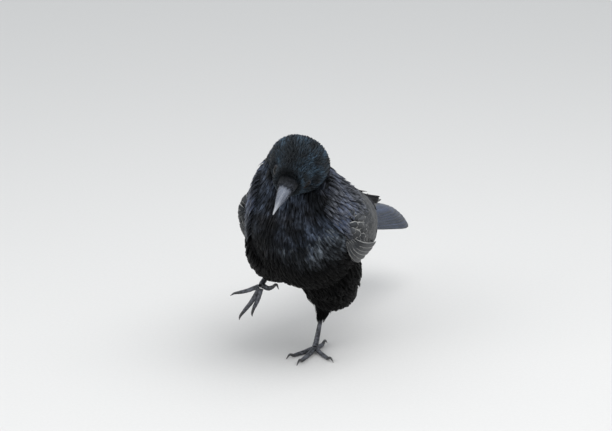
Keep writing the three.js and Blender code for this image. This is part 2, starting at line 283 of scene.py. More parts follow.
@dataclass
class BodyForm(Form):
    """Trunk, neck and head as one form: u runs from the tail root to the bill, v once round from the left."""

    inset: float = 0.0
    thinning: float = 0.62  # how much shallower the inset gets
    thins: Span = (0.45, 0.75)  # along the neck
    sections: int = 57  # how many are tested for what lies inside
    section_reach: float = 5.0  # how far along the body a section counts
    rings: Array = field(init=False)

    def __post_init__(self) -> None:
        """Sets the head's rings in line after the body's."""
        head = []
        for left, forward, up, *size in HEAD_RINGS:
            x, y, z = in_head(left, forward, up)
            head.append((x - MIDLINE, -y, z, *HEAD_TURN, *size))
        self.rings = np.array([*BODY_RINGS, *head], float)
        self.flow = -1.0

    def spine(self, u: Array) -> tuple[Array, Array, Array, Array, Array]:
        """The section at u: its centre, left, forward and up, and its half-width, height and depth."""
        row = between(self.rings, u)
        centre = np.stack([MIDLINE + row[..., 0], -row[..., 1], row[..., 2]], -1)
        left, forward, up = bearings(row[..., 3], row[..., 4], row[..., 5])
        return centre, left, forward, up, row[..., 6:9]

    def point(self, u: Array, v: Array) -> Array:
        """An egg-like section: the half-width times the cosine, height or depth times the sine."""
        centre, left, _, up, size = self.spine(u)
        c, s = np.cos(2 * np.pi * v), np.sin(2 * np.pi * v)
        size = size - self.inset * (1 - self.thinning * smoothstep(*self.thins, u))[..., None]
        x = c * size[..., 0]
        z = s * np.where(s > 0, size[..., 1], size[..., 2])
        return centre + left * x[..., None] + up * z[..., None]

    def buried(self, points: Array) -> Array:
        """How deep points lie inside the form, taken at the section that holds them best.

        Args:
            points: places in millimetres.

        Returns:
            The depth of each, below nought outside.
        """
        centre, left, forward, up, size = self.spine(np.linspace(0, 1, self.sections))
        offset = points[:, None, :] - centre[None]
        x = np.sum(offset * left, -1) / size[:, 0]
        z = np.sum(offset * up, -1)
        z = z / np.where(z > 0, size[:, 1], size[:, 2])
        y = np.sum(offset * forward, -1) / self.section_reach
        depth = (1 - np.sqrt(x**2 + z**2 + y**2)) * size.min(-1)
        return depth.max(1)


@dataclass
class ThroatForm(Form):
    """The bridge from the jaw to the breast: a runs down it, b across it from the right cheek to the left."""

    facing: float = field(default=-1.0, kw_only=True)
    body: BodyForm = field(default_factory=BodyForm)
    cheeks: Span = (0.52, 0.98)  # where it starts and ends round the body
    jaw: float = 0.69
    crop: float = 0.40
    crop_step: float = 0.04  # gives the breast's own line
    start: Place = (0, -3, -34)  # how it leaves the jaw
    landing: float = 2.2  # how strongly it takes up the breast's line

    def point(self, a: Array, b: Array) -> Array:
        """A cubic that leaves the jaw downwards and runs into the breast along the breast's own line."""
        v = self.cheeks[0] + (self.cheeks[1] - self.cheeks[0]) * b
        start = self.body.point(np.full_like(v, self.jaw), v)
        end = self.body.point(np.full_like(v, self.crop), v)
        run = end - self.body.point(np.full_like(v, self.crop + self.crop_step), v)
        drop = np.broadcast_to(at(*self.start), start.shape)
        return hermite(start, end, drop, run * self.landing, a)


@dataclass
class LimbForm(Form):
    """A limb along knots with a radius at each: u runs down it, v once round from its left."""

    knots: Array = field(default_factory=lambda: np.zeros((2, 3)))
    radii: Sizes = (1.0, 1.0)
    inset: float = 0.0
    least: float = 0.3  # share of the radius that the inset leaves
    upward: Place = (0, 0.02, 1.0)  # what the sections are set level to
    sections: int = 40

    def spine(self, u: Array) -> tuple[Array, Array, Array, Array]:
        """The section at u, square to the curve: its centre, left, up and radius."""
        centre = spline(self.knots, u)
        tangent = unit(spline(self.knots, u + 2 * SLIGHT) - spline(self.knots, u - 2 * SLIGHT))
        left = unit(np.cross(np.array(self.upward), tangent))
        return centre, left, np.cross(tangent, left), between(np.array(self.radii)[:, None], u)[..., 0]

    def point(self, u: Array, v: Array) -> Array:
        """A round section about the curve."""
        centre, left, up, radius = self.spine(u)
        turn = 2 * np.pi * v
        radius = (np.maximum(radius - self.inset, self.least * radius))[..., None]
        return centre + (left * np.cos(turn)[..., None] + up * np.sin(turn)[..., None]) * radius

    def buried(self, points: Array) -> Array:
        """How deep points lie inside the limb; what is behind its start isn't inside.

        Args:
            points: places in millimetres.

        Returns:
            The depth of each, below nought outside.
        """
        centre, _, _, radius = self.spine(np.linspace(0, 1, self.sections))
        away = np.linalg.norm(points[:, None, :] - centre[None], axis=-1)
        behind = np.sum((points - centre[0]) * unit(centre[1] - centre[0]), -1) < 0
        return np.where(behind, -1.0, (radius - away).max(1))


@dataclass
class WingForm(Form):
    """The outer face of a folded wing: u runs from wrist to tips, v from the top to the lower edge."""

    side: Side = Side.LEFT
    top: tuple[Place, ...] = (
        (44, 50, 166), (41, 38, 182), (33, 0, 184), (24, -46, 170),
        (16, -92, 151), (9, -142, 132), (6, -190, 116),
    )
    low: tuple[Place, ...] = (
        (51, 50, 148), (57, 38, 128), (57, 4, 114), (47, -46, 110),
        (31, -92, 110), (19, -142, 112), (9, -192, 111),
    )
    bulge: Sizes = (8, 15, 20, 18, 12, 5, 1.5)
    thickness: Sizes = (8, 14, 17, 14, 8, 3.6, 2.2)
    held: Span = (0.0, 0.0)  # how far out and up the wing is lifted off

    def __post_init__(self) -> None:
        """A mirrored wing faces the other way."""
        self.facing = float(self.side.value)

    def edges(self, u: Array) -> tuple[Array, Array]:
        """Points of the top and lower edge."""
        return tuple(spline(np.array([at(*p) for p in edge]), u) for edge in (self.top, self.low))

    def point(self, u: Array, v: Array) -> Array:
        """The outer face itself."""
        return self.shell(u, v, 0.0)

    def shell(self, u: Array, v: Array, inset: Array | float) -> Array:
        """A straight line between the edges, pushed out by a parabola as high as the bulge.

        Args:
            u: along the wing.
            v: across it.
            inset: how far in the face is moved.

        Returns:
            The points.
        """
        top, low = self.edges(u)
        across = low - top
        nought = np.zeros_like(across[..., 0])
        out = unit(np.stack([-across[..., 2], nought, across[..., 0]], -1))
        push = between(np.array(self.bulge)[:, None], u)[..., 0] * 4 * v * (1 - v) - inset
        place = top + across * v[..., None] + out * push[..., None]
        place[..., 0] = MIDLINE + self.side.value * (place[..., 0] + self.held[0])
        place[..., 2] += self.held[1]
        return place


@dataclass
class TailForm(Form):
    """One face of the folded tail: t runs from the root to the tips, b across it from right to left."""

    root: Place = (MIDLINE, -86, 119)
    pitch: float = 11
    roll: float = 20
    length: float = 170
    half_widths: Span = (17, 34)
    droop: float = 8
    thick: Span = (4, 1.2)
    face: float = 1.0  # 1 for the upper face, -1 for the lower

    def __post_init__(self) -> None:
        """The lower face looks down."""
        self.facing = self.face

    def point(self, t: Array, b: Array) -> Array:
        """A shallow fan: wider towards the end, its sides bent down by a parabola, its end rounded."""
        a = 2 * b - 1
        left, forward, up = bearings(self.pitch, 0.0, self.roll)
        width = self.half_widths[0] + (self.half_widths[1] - self.half_widths[0]) * np.maximum(t, 0) ** 0.8
        back = self.length * t * (1 - 0.1 * a**2 * t**3)
        thick = self.thick[0] + (self.thick[1] - self.thick[0]) * t
        height = -self.droop * a**2 * (0.4 + 0.6 * t) + self.face * thick / 2 * (1 - 0.5 * a**2)
        place = at(*self.root) + left * (a * width)[..., None]
        return place - forward * back[..., None] + up * height[..., None]


@dataclass
class BillForm(Form):
    """One half of the bill: t runs from inside the head to the tip, v once round from the left."""

    upper: bool = True
    length: float = 50.0
    root: float = 16.0
    sunk: float = 8.0  # how far it reaches back into the head
    shorter: float = 3.5  # than the upper half, if it's the lower
    drop: float = 4.5
    swell: float = 0.0
    culmen: float = 11.5
    gonys: float = 8.0
    half_width: float = 9.0
    squareness: float = 0.85  # a section of 1 would be round
    ends: Span = (-0.05, 1.02)  # how far past its ends it may be read

    def profile(self, t: Array) -> tuple[Array, Array, Array]:
        """The culmen falls off late and hooks down, the gape is a shallow S, the gonys rises to the tip.

        Args:
            t: along the bill.

        Returns:
            The upper edge, the lower edge and the half-width.
        """
        t = np.clip(t, 0, 1)
        culmen = self.culmen * (1 - 0.1 * t - 0.98 * t**3.2) - 1.6 * t**6
        wide = self.half_width * (1 - 0.94 * t**1.25)
        if self.upper:
            gape = -0.2 + 0.9 * np.sin(np.pi * t) - 2.2 * t**5
            return culmen, np.minimum(gape, culmen - 0.8), wide
        s = t * 0.94
        gape = -0.5 + 0.9 * np.sin(np.pi * s) - 2.2 * s**5
        return gape, -self.gonys * (1 - 0.25 * t - 0.72 * t**3), wide * 0.9

    def point(self, t: Array, v: Array) -> Array:
        """A squarish section between the two edges: a power of the cosine across, of the sine up."""
        top, bottom, wide = self.profile(t)
        length = self.length if self.upper else self.length - self.shorter
        c, s = np.cos(2 * np.pi * v), np.sin(2 * np.pi * v)
        x = np.sign(c) * np.abs(c) ** self.squareness * (wide + self.swell)
        rise = np.sign(s) * np.abs(s) ** self.squareness
        z = (top + bottom) / 2 + rise * ((top - bottom) / 2 + self.swell)
        ahead = self.root - self.sunk + (length + self.sunk) * np.clip(t, *self.ends)
        return in_head(x, ahead, z - self.drop)


# ---- Meshes ----


@dataclass(frozen=True)
class Site:
    """Where the maker's millimetres lie in the frame."""

    origin: Array

    @classmethod
    def from_eyes(cls) -> Site:
        """Matches the point between the eyes to the frame's two eye nodes."""
        corners = [np.array(corner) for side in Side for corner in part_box(f"eye_{side.word}")]
        return cls(np.mean(corners, axis=0) - np.array(EYE_MIDDLE) * MM)

    def place(self, points: Array) -> Array:
        """Metres in the frame."""
        return np.asarray(points, float).reshape(-1, 3) * MM + self.origin

    def find(self, piece: Piece) -> Array:
        """The piece's vertices, in the maker's millimetres."""
        co = np.empty(len(piece.data.vertices) * 3, np.float32)
        piece.data.vertices.foreach_get("co", co)
        return (co.reshape(-1, 3).astype(float) - self.origin) / MM


def make_mesh(name: str, points: Array, faces: list[Array]) -> Piece:
    """A mesh object from points in metres and lists of faces, each list with one count of corners.

    Args:
        name: the piece's name.
        points: its vertices.
        faces: arrays of vertex numbers, shape (faces, corners).

    Returns:
        The new object, smooth shaded, at the origin.
    """
    mesh = bpy.data.meshes.new(name)
    loops = np.concatenate([f.ravel() for f in faces]).astype(np.int32)
    counts = np.concatenate([np.full(len(f), f.shape[1]) for f in faces])
    starts = np.concatenate([[0], np.cumsum(counts)[:-1]]).astype(np.int32)
    mesh.vertices.add(len(points))
    mesh.vertices.foreach_set("co", np.asarray(points, np.float32).ravel())
    mesh.loops.add(len(loops))
    mesh.loops.foreach_set("vertex_index", loops)
    mesh.polygons.add(len(counts))
    mesh.polygons.foreach_set("loop_start", starts)
    mesh.update(calc_edges=True)
    mesh.polygons.foreach_set("use_smooth", np.ones(len(counts), bool))
    piece = bpy.data.objects.new(name, mesh)
    bpy.context.scene.collection.objects.link(piece)
    return piece


def set_uv(piece: Piece, name: str, places: Array) -> None:
    """Gives the piece a UV map of that name from one place per vertex."""
    mesh = piece.data
    corners = np.empty(len(mesh.loops), np.int32)
    mesh.loops.foreach_get("vertex_index", corners)
    layer = mesh.uv_layers.new(name=name)
    layer.data.foreach_set("uv", np.asarray(places, np.float32)[corners].ravel())


def set_marks(piece: Piece, marks: Array) -> None:
    """Stores wear, gloss and tone at each vertex as marks, and the paleness of edges as fringe; for plumage
    the gloss is painted sheen and the tone also carries painted shade.
    """
    marks = np.asarray(marks, np.float32)
    colours = np.column_stack([marks[:, :3], np.ones(len(marks), np.float32)])
    fringe = piece.data.attributes.new("fringe", "FLOAT", "POINT")
    fringe.data.foreach_set("value", np.ascontiguousarray(marks[:, 3]))
    attribute = piece.data.attributes.new("marks", "FLOAT_COLOR", "POINT")
    attribute.data.foreach_set("color", colours.ravel())


def numbered(rows: int, columns: int) -> tuple[Array, Array]:
    """The row's and the column's number at each place of a grid."""
    return np.meshgrid(np.arange(rows), np.arange(columns), indexing="ij")


def grid_faces(rows: int, columns: int, flip: bool = False) -> list[Array]:
    """Quads between closed rings, and fans to one point before the first ring and one after the last.

    Args:
        rows: how many rings.
        columns: how many points in each ring.
        flip: turns the faces over, for a mirrored form.

    Returns:
        The quads and the fans' triangles; the two end points are numbered after the rings.
    """
    i, j = numbered(rows - 1, columns)
    a, b = i * columns + j, i * columns + (j + 1) % columns
    quads = np.stack([a, b, b + columns, a + columns], -1).reshape(-1, 4)
    j = np.arange(columns)
    k = (j + 1) % columns
    first, last = rows * columns, rows * columns + 1
    start = np.stack([k, j, np.full_like(j, first)], -1)
    offset = (rows - 1) * columns
    end = np.stack([offset + j, offset + k, np.full_like(j, last)], -1)
    faces = [quads, np.concatenate([start, end])]
    return [f[:, ::-1] for f in faces] if flip else faces


def closed_rings(rings: Array) -> Array:
    """The rings' points followed by the middles of the first and the last ring."""
    return np.vstack([rings.reshape(-1, 3), rings[0].mean(0), rings[-1].mean(0)])


def grid(low: float, high: float, count: int, around: int) -> tuple[Array, Array]:
    """Parameters of count rings from low to high, each with around points once round."""
    return np.meshgrid(np.linspace(low, high, count), np.arange(around) / around, indexing="ij")


def along_map(t: Array, v: Array) -> Array:
    """The map of a horn's rings, t along and v round, and of the points that close its two ends."""
    return np.concatenate([np.stack([t, v], -1).reshape(-1, 2), [[t.min(), 0.0], [t.max(), 0.0]]])


# ---- Finishes ----


class Nodes:
    """A material's node tree, with short calls for the nodes this bird's finishes need."""

    def __init__(self, name: str) -> None:
        """Starts a material with one Principled shader."""
        self.material = bpy.data.materials.new(name)
        self.material.use_nodes = True
        self.tree = self.material.node_tree
        self.shader = self.tree.nodes["Principled BSDF"]

    def add(self, kind: str, **settings: object) -> bpy.types.Node:
        """A new node of a kind, with its settings."""
        node = self.tree.nodes.new(kind)
        for key, value in settings.items():
            setattr(node, key, value)
        return node

    def link(self, source: object, target: object) -> None:
        """Joins an output to an input."""
        self.tree.links.new(source, target)

    def feed(self, socket: object, value: object) -> None:
        """Sets a socket to a number or colour, or joins it to an output."""
        if isinstance(value, bpy.types.NodeSocket):
            self.link(value, socket)
        elif isinstance(value, tuple) and len(value) == 3 and len(socket.default_value) == 4:
            socket.default_value = (*value, 1.0)
        else:
            socket.default_value = value

    def fed(self, node: bpy.types.Node, *values: object) -> object:
        """The node's first output, once its inputs have got the values in order."""
        for socket, value in zip(node.inputs, values):
            self.feed(socket, value)
        return node.outputs[0]

    def math(self, operation: str, *values: object, clamp: bool = False) -> object:
        """The result of a Math node."""
        return self.fed(self.add("ShaderNodeMath", operation=operation, use_clamp=clamp), *values)

    def times(self, first: object, second: object) -> object:
        """The product of two numbers."""
        return self.math("MULTIPLY", first, second)

    def mix(self, share: object, first: object, second: object, blend: str = "MIX") -> object:
        """The first colour with a share of the second laid over it."""
        node = self.add("ShaderNodeMix", data_type="RGBA", blend_type=blend, clamp_factor=True)
        self.feed(node.inputs[0], share)
        self.feed(node.inputs[6], first)
        self.feed(node.inputs[7], second)
        return node.outputs[2]

    def shaded(self, colour: object, factor: object) -> object:
        """The colour times a number."""
        grey = self.fed(self.add("ShaderNodeCombineColor"), factor, factor, factor)
        return self.mix(1.0, colour, grey, "MULTIPLY")

    def ramp(self, value: object, low: object, high: object, start: float = 0.0, end: float = 1.0) -> object:
        """Value carried from low..high to start..end with an even S."""
        node = self.add("ShaderNodeMapRange", interpolation_type="SMOOTHSTEP")
        return self.fed(node, value, low, high, start, end)

    def vector(self, *axes: object) -> object:
        """A vector of three numbers."""
        return self.fed(self.add("ShaderNodeCombineXYZ"), *axes)

    def marks(self) -> object:
        """The piece's marks, as the three outputs of one node."""
        split = self.add("ShaderNodeSeparateColor")
        self.link(self.add("ShaderNodeAttribute", attribute_name="marks").outputs["Color"], split.inputs[0])
        return split.outputs

    def map_axes(self, name: str) -> object:
        """The axes of the piece's own map, as the outputs of one node."""
        parts = self.add("ShaderNodeSeparateXYZ")
        self.link(self.add("ShaderNodeUVMap", uv_map=name).outputs[0], parts.inputs[0])
        return parts.outputs

    def noise(self, scale: float, detail: float = 3.0, vector: object = None) -> object:
        """Noise on the object's own coordinates, or on the vector given."""
        node = self.add("ShaderNodeTexNoise")
        node.inputs["Scale"].default_value = scale
        node.inputs["Detail"].default_value = detail
        source = vector or self.add("ShaderNodeTexCoord").outputs["Object"]
        self.link(source, node.inputs["Vector"])
        return node.outputs["Fac"]

    def bump(self, height: object, depth: float, strength: float) -> None:
        """Raises the surface by a height, of which 1 is the depth in metres."""
        node = self.add("ShaderNodeBump")
        node.inputs["Strength"].default_value = strength
        node.inputs["Distance"].default_value = depth
        self.link(height, node.inputs["Height"])
        self.link(node.outputs[0], self.shader.inputs["Normal"])

    def finish(self, colour: object, rough: object, **constants: object) -> Finish:
        """The material, once its shader has its colour, roughness and constant inputs."""
        self.feed(self.shader.inputs["Base Color"], colour)
        self.feed(self.shader.inputs["Roughness"], rough)
        for key, value in constants.items():
            self.feed(self.shader.inputs[key.replace("_", " ")], value)
        return self.material


@dataclass(frozen=True)
class Plumage:
    """A feather finish: deep and worn colours, a blue gloss painted into the colour as sheen, pale worn
    fringes and the lines of the barbs.
    """

    name: str
    deep: Colour = (0.0045, 0.0045, 0.005)
    worn: Colour = (0.022, 0.019, 0.016)
    # the blue sheen, painted into the colour where the marks are glossy
    gloss: Colour = (0.026, 0.036, 0.060)
    fringe: Colour = (0.20, 0.20, 0.195)
    tint: Colour = (0.80, 0.90, 1.0)
    roughness: Span = (0.40, 0.58)
    specular: float = 0.24
    sheen: float = 0.0
    barbs: float = 70.0
    barb_depth: float = 0.00003
    patches: Span = (0.7, 1.3)  # dark and light from patch to patch
    blotch: Span = (0.7, 1.35)  # the same within a feather
    strands: Span = (0.7, 1.3)  # the same from barb to barb
    edge: Span = (0.72, 0.98)  # where the fringe starts and is full, across the vane
    end: Span = (0.84, 0.99)  # the same along it
    tones: Span = (0.25, 1.7)  # shades at the lowest and the highest tone
    slope: float = 5.0  # how far the barbs slant, in barbs
    shaft: float = 4.0  # how high the rachis stands, in barbs
    wear_scale: float = 41.0  # noise scales, for the object in metres
    patch_scale: float = 58.0
    blotch_scale: float = 220.0
    ragged_scale: float = 900.0

    def build(self) -> Finish:
        """Mixes the colours by the marks, and sets rachis, edges and barbs by the vane's own map.

        Returns:
            The material.
        """
        n = Nodes(self.name)
        marks = n.marks()
        wear, gloss, tone = marks[0], marks[1], marks[2]
        pale = n.add("ShaderNodeAttribute", attribute_name="fringe").outputs["Fac"]
        side, along, _ = n.map_axes("Vane")
        across = n.times(n.math("ABSOLUTE", n.math("SUBTRACT", side, 0.5)), 2.0)
        patch = n.noise(self.patch_scale, 2.0)
        colour = self.ground(n, wear, gloss, patch)
        blotch = n.ramp(n.noise(self.blotch_scale), 0.35, 0.7, *self.blotch)
        # the tone shades the colour: at random from feather to feather, and as painted shade where the marks
        # darken it
        shade = n.times(n.ramp(tone, 0.0, 1.0, *self.tones), blotch)
        colour = n.shaded(colour, n.times(shade, n.ramp(patch, 0.36, 0.64, *self.patches)))
        edge = n.math("MAXIMUM", n.ramp(across, *self.edge), n.ramp(along, *self.end))
        ragged = n.ramp(n.ramp(n.noise(self.ragged_scale), 0.38, 0.62), 0.0, 1.0, 0.75, 1.0)
        colour = n.mix(n.times(n.times(edge, pale), ragged), colour, self.fringe)
        shaft = n.times(n.ramp(across, 0.10, 0.03), pale)
        colour = n.mix(n.times(shaft, 0.35), colour, self.worn)
        slant = n.math("SUBTRACT", n.times(along, self.barbs), n.times(across, self.slope))
        strand = n.noise(0.7, 3.0, n.vector(slant, n.times(across, 2.0), n.times(tone, 40.0)))
        colour = n.shaded(colour, n.ramp(strand, 0.3, 0.7, *self.strands))
        lines = n.math("SINE", n.times(slant, 2 * math.pi))
        n.bump(n.math("ADD", lines, n.times(shaft, self.shaft)), self.barb_depth, 0.6)
        return n.finish(
            colour, n.ramp(wear, 0.0, 1.0, *self.roughness), Specular_IOR_Level=self.specular,
            Specular_Tint=self.tint, Sheen_Weight=self.sheen, Sheen_Roughness=0.45, Sheen_Tint=self.tint,
        )

    def ground(self, n: Nodes, wear: object, gloss: object, patch: object) -> object:
        """The plumage's colour before the tone's shading: deep, then worn, then the painted blue sheen, each
        in its own patches.

        Args:
            n: the material's nodes.
            wear: how worn it is, 0 to 1.
            gloss: how much painted sheen.
            patch: the noise that breaks the painted sheen.

        Returns:
            The colour.
        """
        worn = n.times(wear, n.ramp(n.noise(self.wear_scale, 2.0), 0.35, 0.65, 0.3, 1.6))
        glossy = n.math("MULTIPLY", gloss, n.ramp(patch, 0.35, 0.62, 0.45, 1.3), clamp=True)
        return n.mix(glossy, n.mix(worn, self.deep, self.worn), self.gloss)


@dataclass(frozen=True)
class SkinFinish:
    """The skin under the coat, in the coat's own deep colours and its painted blue sheen."""

    name: str
    deep: Colour = (0.003, 0.003, 0.004)
    worn: Colour = (0.010, 0.009, 0.009)
    gloss: Colour = (0.010, 0.017, 0.028)
    roughness: float = 0.75
    fluff: float = 0.0006  # depth in metres

    def build(self) -> Finish:
        """Dark matt down with a fine fluff.

        Returns:
            The material.
        """
        n = Nodes(self.name)
        wear, gloss, _ = n.marks()
        n.bump(n.noise(700.0, 5.0), self.fluff, 0.8)
        colour = n.mix(gloss, n.mix(wear, self.deep, self.worn), self.gloss)
        return n.finish(colour, self.roughness, Specular_IOR_Level=0.3)


@dataclass(frozen=True)
class Horn:
    """Bill and claw horn: dark at the root, paler towards the tip, with growth lines and small chips."""

    name: str
    root: Colour
    middle: Colour
    tip: Colour
    roughness: float = 0.3
    lines: float = 46.0
    chips: float = 0.00025  # depth in metres

    def build(self) -> Finish:
        """Sets the colour along the piece's own map, broken by streaks that run along it.

        Returns:
            The material.
        """
        n = Nodes(self.name)
        length, around, _ = n.map_axes("Length")
        turn = n.times(around, 2 * math.pi)
        ring = (n.times(n.math(wave, turn), 5.0) for wave in ("COSINE", "SINE"))
        grain = n.vector(n.times(length, 3.0), *ring)
        streak = n.noise(1.0, 4.0, grain)
        along = n.math("ADD", length, n.times(n.math("SUBTRACT", streak, 0.5), 0.4))
        colour = n.mix(n.ramp(along, 0.1, 0.55), self.root, self.middle)
        colour = n.mix(n.ramp(along, 0.72, 1.0), colour, self.tip)
        scuffs = n.ramp(n.noise(3.0, 6.0, grain), 0.45, 0.7)
        colour = n.mix(n.times(scuffs, 0.35), colour, self.tip)
        colour = n.mix(n.times(n.ramp(streak, 0.5, 0.66), 0.6), colour, self.root)
        waves = n.math("SINE", n.times(along, self.lines * 2 * math.pi))
        n.bump(n.math("ADD", n.times(waves, 0.12), n.noise(1500.0, 4.0)), self.chips, 0.5)
        rough = n.ramp(n.noise(500.0, 4.0), 0.3, 0.7, self.roughness * 0.8, self.roughness * 1.5)
        return n.finish(colour, rough, Specular_IOR_Level=0.6)


@dataclass(frozen=True)
class LegHide:
    """Scaled leg skin: black plates with a grey bloom, paler dust on their edges and dull grooves."""

    name: str = "leg_hide"
    plate: Colour = (0.024, 0.026, 0.031)
    bloom: Colour = (0.165, 0.172, 0.200)
    groove: Colour = (0.004, 0.004, 0.005)
    dustiness: float = 0.75
    roughness: Span = (0.4, 0.62)
    grain: float = 0.0003  # depth in metres

    def build(self) -> Finish:
        """Plates and grooves by the height stored in the marks.

        Returns:
            The material.
        """
        n = Nodes(self.name)
        height = n.marks()[0]
        dusty = n.ramp(n.noise(330.0, 5.0), 0.38, 0.68)
        colour = n.mix(n.times(dusty, self.dustiness), self.plate, self.bloom)
        colour = n.mix(n.ramp(height, 0.55, 0.15), colour, self.groove)
        n.bump(n.noise(1300.0, 5.0), self.grain, 0.6)
        return n.finish(colour, n.ramp(dusty, 0.0, 1.0, *self.roughness), Specular_IOR_Level=0.4)


@dataclass(frozen=True)
class EyeFinish:
    """Wet dark-brown eye: black pupil, brown iris with fine streaks and a dark rim."""

    name: str = "eye_brown"
    pupil: Colour = (0.002, 0.002, 0.002)
    iris: Colour = (0.011, 0.006, 0.004)
    streak: float = 0.4
    pupil_edge: Span = (0.46, 0.5)  # as shares of the eye's radius
    rim: Span = (0.78, 0.92)

    def build(self) -> Finish:
        """Rings by the distance from the pupil's middle, stored in the marks.

        Returns:
            The material.
        """
        n = Nodes(self.name)
        radius = n.marks()[0]
        streaks = n.ramp(n.noise(1800.0, 4.0), 0.3, 0.7, 0.0, 0.6)
        iris = n.mix(streaks, self.iris, tuple(self.streak * v for v in self.iris))
        colour = n.mix(n.ramp(radius, *self.pupil_edge), self.pupil, iris)
        colour = n.mix(n.ramp(radius, *self.rim), colour, self.pupil)
        return n.finish(colour, 0.04, Specular_IOR_Level=0.13)


@dataclass(frozen=True)
class Plain:
    """A plain finish with a little grain, for lids and the floor."""

    name: str
    colour: Colour
    roughness: float = 0.6
    grain: float = 900.0
    depth: float = 0.0002  # of the grain, in metres
    mottle: float = 0.35
    specular: float = 0.5
    paler: float = 1.5

    def build(self) -> Finish:
        """One colour, slightly mottled, with a fine bump.

        Returns:
            The material.
        """
        n = Nodes(self.name)
        mottle = n.ramp(n.noise(self.grain / 3, 4.0), 0.3, 0.7, 0.0, self.mottle)
        colour = n.mix(mottle, self.colour, tuple(min(1.0, self.paler * v) for v in self.colour))
        n.bump(n.noise(self.grain, 4.0), self.depth, 0.5)
        return n.finish(colour, self.roughness, Specular_IOR_Level=self.specular)


# ---- Feathers ----


@dataclass(frozen=True)
class Patch:
    """A soft patch of plumage: its middle left, ahead and up, and how far it reaches along x, y and z."""

    middle: Place
    reach: Place

    def share(self, points: Array) -> Array:
        """1 at the patch's middle, fading over its reach."""
        return near(points, at(*self.middle), self.reach)


# patches of painted sheen on the breast and crop, where the blue gloss catches the light
FAR_BREAST_PAINTED_SHEEN = Patch((37, 56, 162), (12, 15, 13))
BREAST_PAINTED_SHEEN = Patch((17, 72, 156), (17, 16, 12))
CROP_PAINTED_SHEEN = Patch((9, 70, 162), (12, 16, 10))
SHOULDERS = (Patch((-46, 40, 175), (16, 26, 20)), Patch((44, 30, 176), (16, 26, 16)))
UPPER_CHEEK = Patch((-22, 70, 210), (14, 16, 18))
LOWER_CHEEK = Patch((-34, 58, 200), (13, 16, 16))
# painted shade on the forehead above the eyes, under the brow's overhang
BROW_PAINTED_SHADE = Patch((4, 88, 232), (11, 13, 15))
THROAT = Patch((0, 80, 182), (26, 22, 18))
NAPE_SIDES = (Patch((-34, 52, 205), (14, 20, 18)), Patch((34, 46, 198), (16, 20, 18)))
HEAD_REACH = 31
CROWN_REACH = (24, 24, 18)
BELLY_PAINTED_SHADE = (120, 60)  # the heights between which the underparts darken, as painted shade


def plumage_marks(points: Array) -> Array:
    """Wear, gloss and tone of the plumage at places on the bird: the one set of markings and painted light
    for skin and coat.

    Each is a sum of soft patches, with a weight for each; the gloss is a blue sheen painted into the colour,
    partly the plumage's own, and it fades under the brow's painted shade.

    Args:
        points: places in millimetres.

    Returns:
        Wear, gloss and tone, each 0 to 1, one row a place.
    """
    head = near(points, in_head(0, -3, 7), HEAD_REACH)
    crown = near(points, in_head(0, 2, 18), CROWN_REACH)
    breast = 0.5 * FAR_BREAST_PAINTED_SHEEN.share(points) + BREAST_PAINTED_SHEEN.share(points)
    brow = BROW_PAINTED_SHADE.share(points)
    cheek = UPPER_CHEEK.share(points) + 0.7 * LOWER_CHEEK.share(points)
    shoulder = sum(patch.share(points) for patch in SHOULDERS)
    nape_side = sum(patch.share(points) for patch in NAPE_SIDES)
    # gloss: blue sheen painted into the colour on head, crown, cheeks, breast and shoulders; the brow's
    # painted shade takes it away
    gloss = (0.9 * head + 0.5 * crown) * (1 - brow) + 0.9 * cheek
    gloss = gloss + 0.95 * breast + 0.1 * CROP_PAINTED_SHEEN.share(points) + 0.35 * shoulder
    wear = 0.28 + 0.35 * THROAT.share(points) + 0.5 * nape_side - 0.25 * head - 0.3 * breast
    # tone: a little lighter on the crown with its painted sheen, darker as painted shade low on the
    # underparts and at the brow
    tone = 0.5 + 0.12 * crown - 0.12 * smoothstep(*BELLY_PAINTED_SHADE, points[..., 2]) - 0.7 * brow
    return np.clip(np.stack([wear, gloss, tone], -1), 0, 1)


@dataclass(frozen=True)
class VaneShape:
    """A vane's outline and section: width at stations along it, and the ring of its section."""

    stations: Sizes = (0.0, 0.34, 0.66, 0.88, 1.0)
    widths: Sizes = (0.35, 0.86, 1.0, 0.72, 0.14)
    section: tuple[Span, ...] = ((1, 0), (0, 0.5), (-1, 0), (0, -0.5))

    @property
    def faces(self) -> Array:
        """Quads along the vane and a ladder of quads over each end, for one vane.

        Returns:
            Vertex numbers, one row a face.
        """
        rings, sides = len(self.stations), len(self.section)
        i, j = numbered(rings - 1, sides)
        a, b = i * sides + j, i * sides + (j + 1) % sides
        quads = np.stack([a, b, b + sides, a + sides], -1).reshape(-1, 4)
        k = np.arange(sides // 2 - 1)
        rung = np.stack([k, k + 1, sides - 2 - k, sides - 1 - k], -1)
        return np.concatenate([quads, rung[:, ::-1], rung + (rings - 1) * sides])


NARROW_LOCK = VaneShape((0.0, 0.4, 0.75, 1.0), (0.5, 1.0, 0.7, 0.06))
FACE_TUFT = VaneShape((0.0, 0.45, 0.8, 1.0), (0.5, 1.0, 0.8, 0.2))
ROUND_VANE = VaneShape()
POINTED_VANE = VaneShape(
    (0.0, 0.1, 0.25, 0.4, 0.55, 0.68, 0.78, 0.86, 0.93, 0.98, 1.0),
    (0.2, 0.55, 0.85, 0.95, 1.0, 0.98, 0.92, 0.8, 0.6, 0.36, 0.12),
    ((1, 0), (0.12, 0.4), (0, 0.9), (-0.12, 0.4), (-1, 0), (0, -0.6)),
)
COVERT_VANE = VaneShape(
    (0.0, 0.22, 0.45, 0.66, 0.82, 0.93, 1.0),
    (0.3, 0.72, 0.95, 1.0, 0.88, 0.6, 0.16),
    ((1, 0), (0.5, 0.35), (0, 0.6), (-0.5, 0.35), (-1, 0), (-0.5, -0.15), (0, -0.4), (0.5, -0.15)),
)
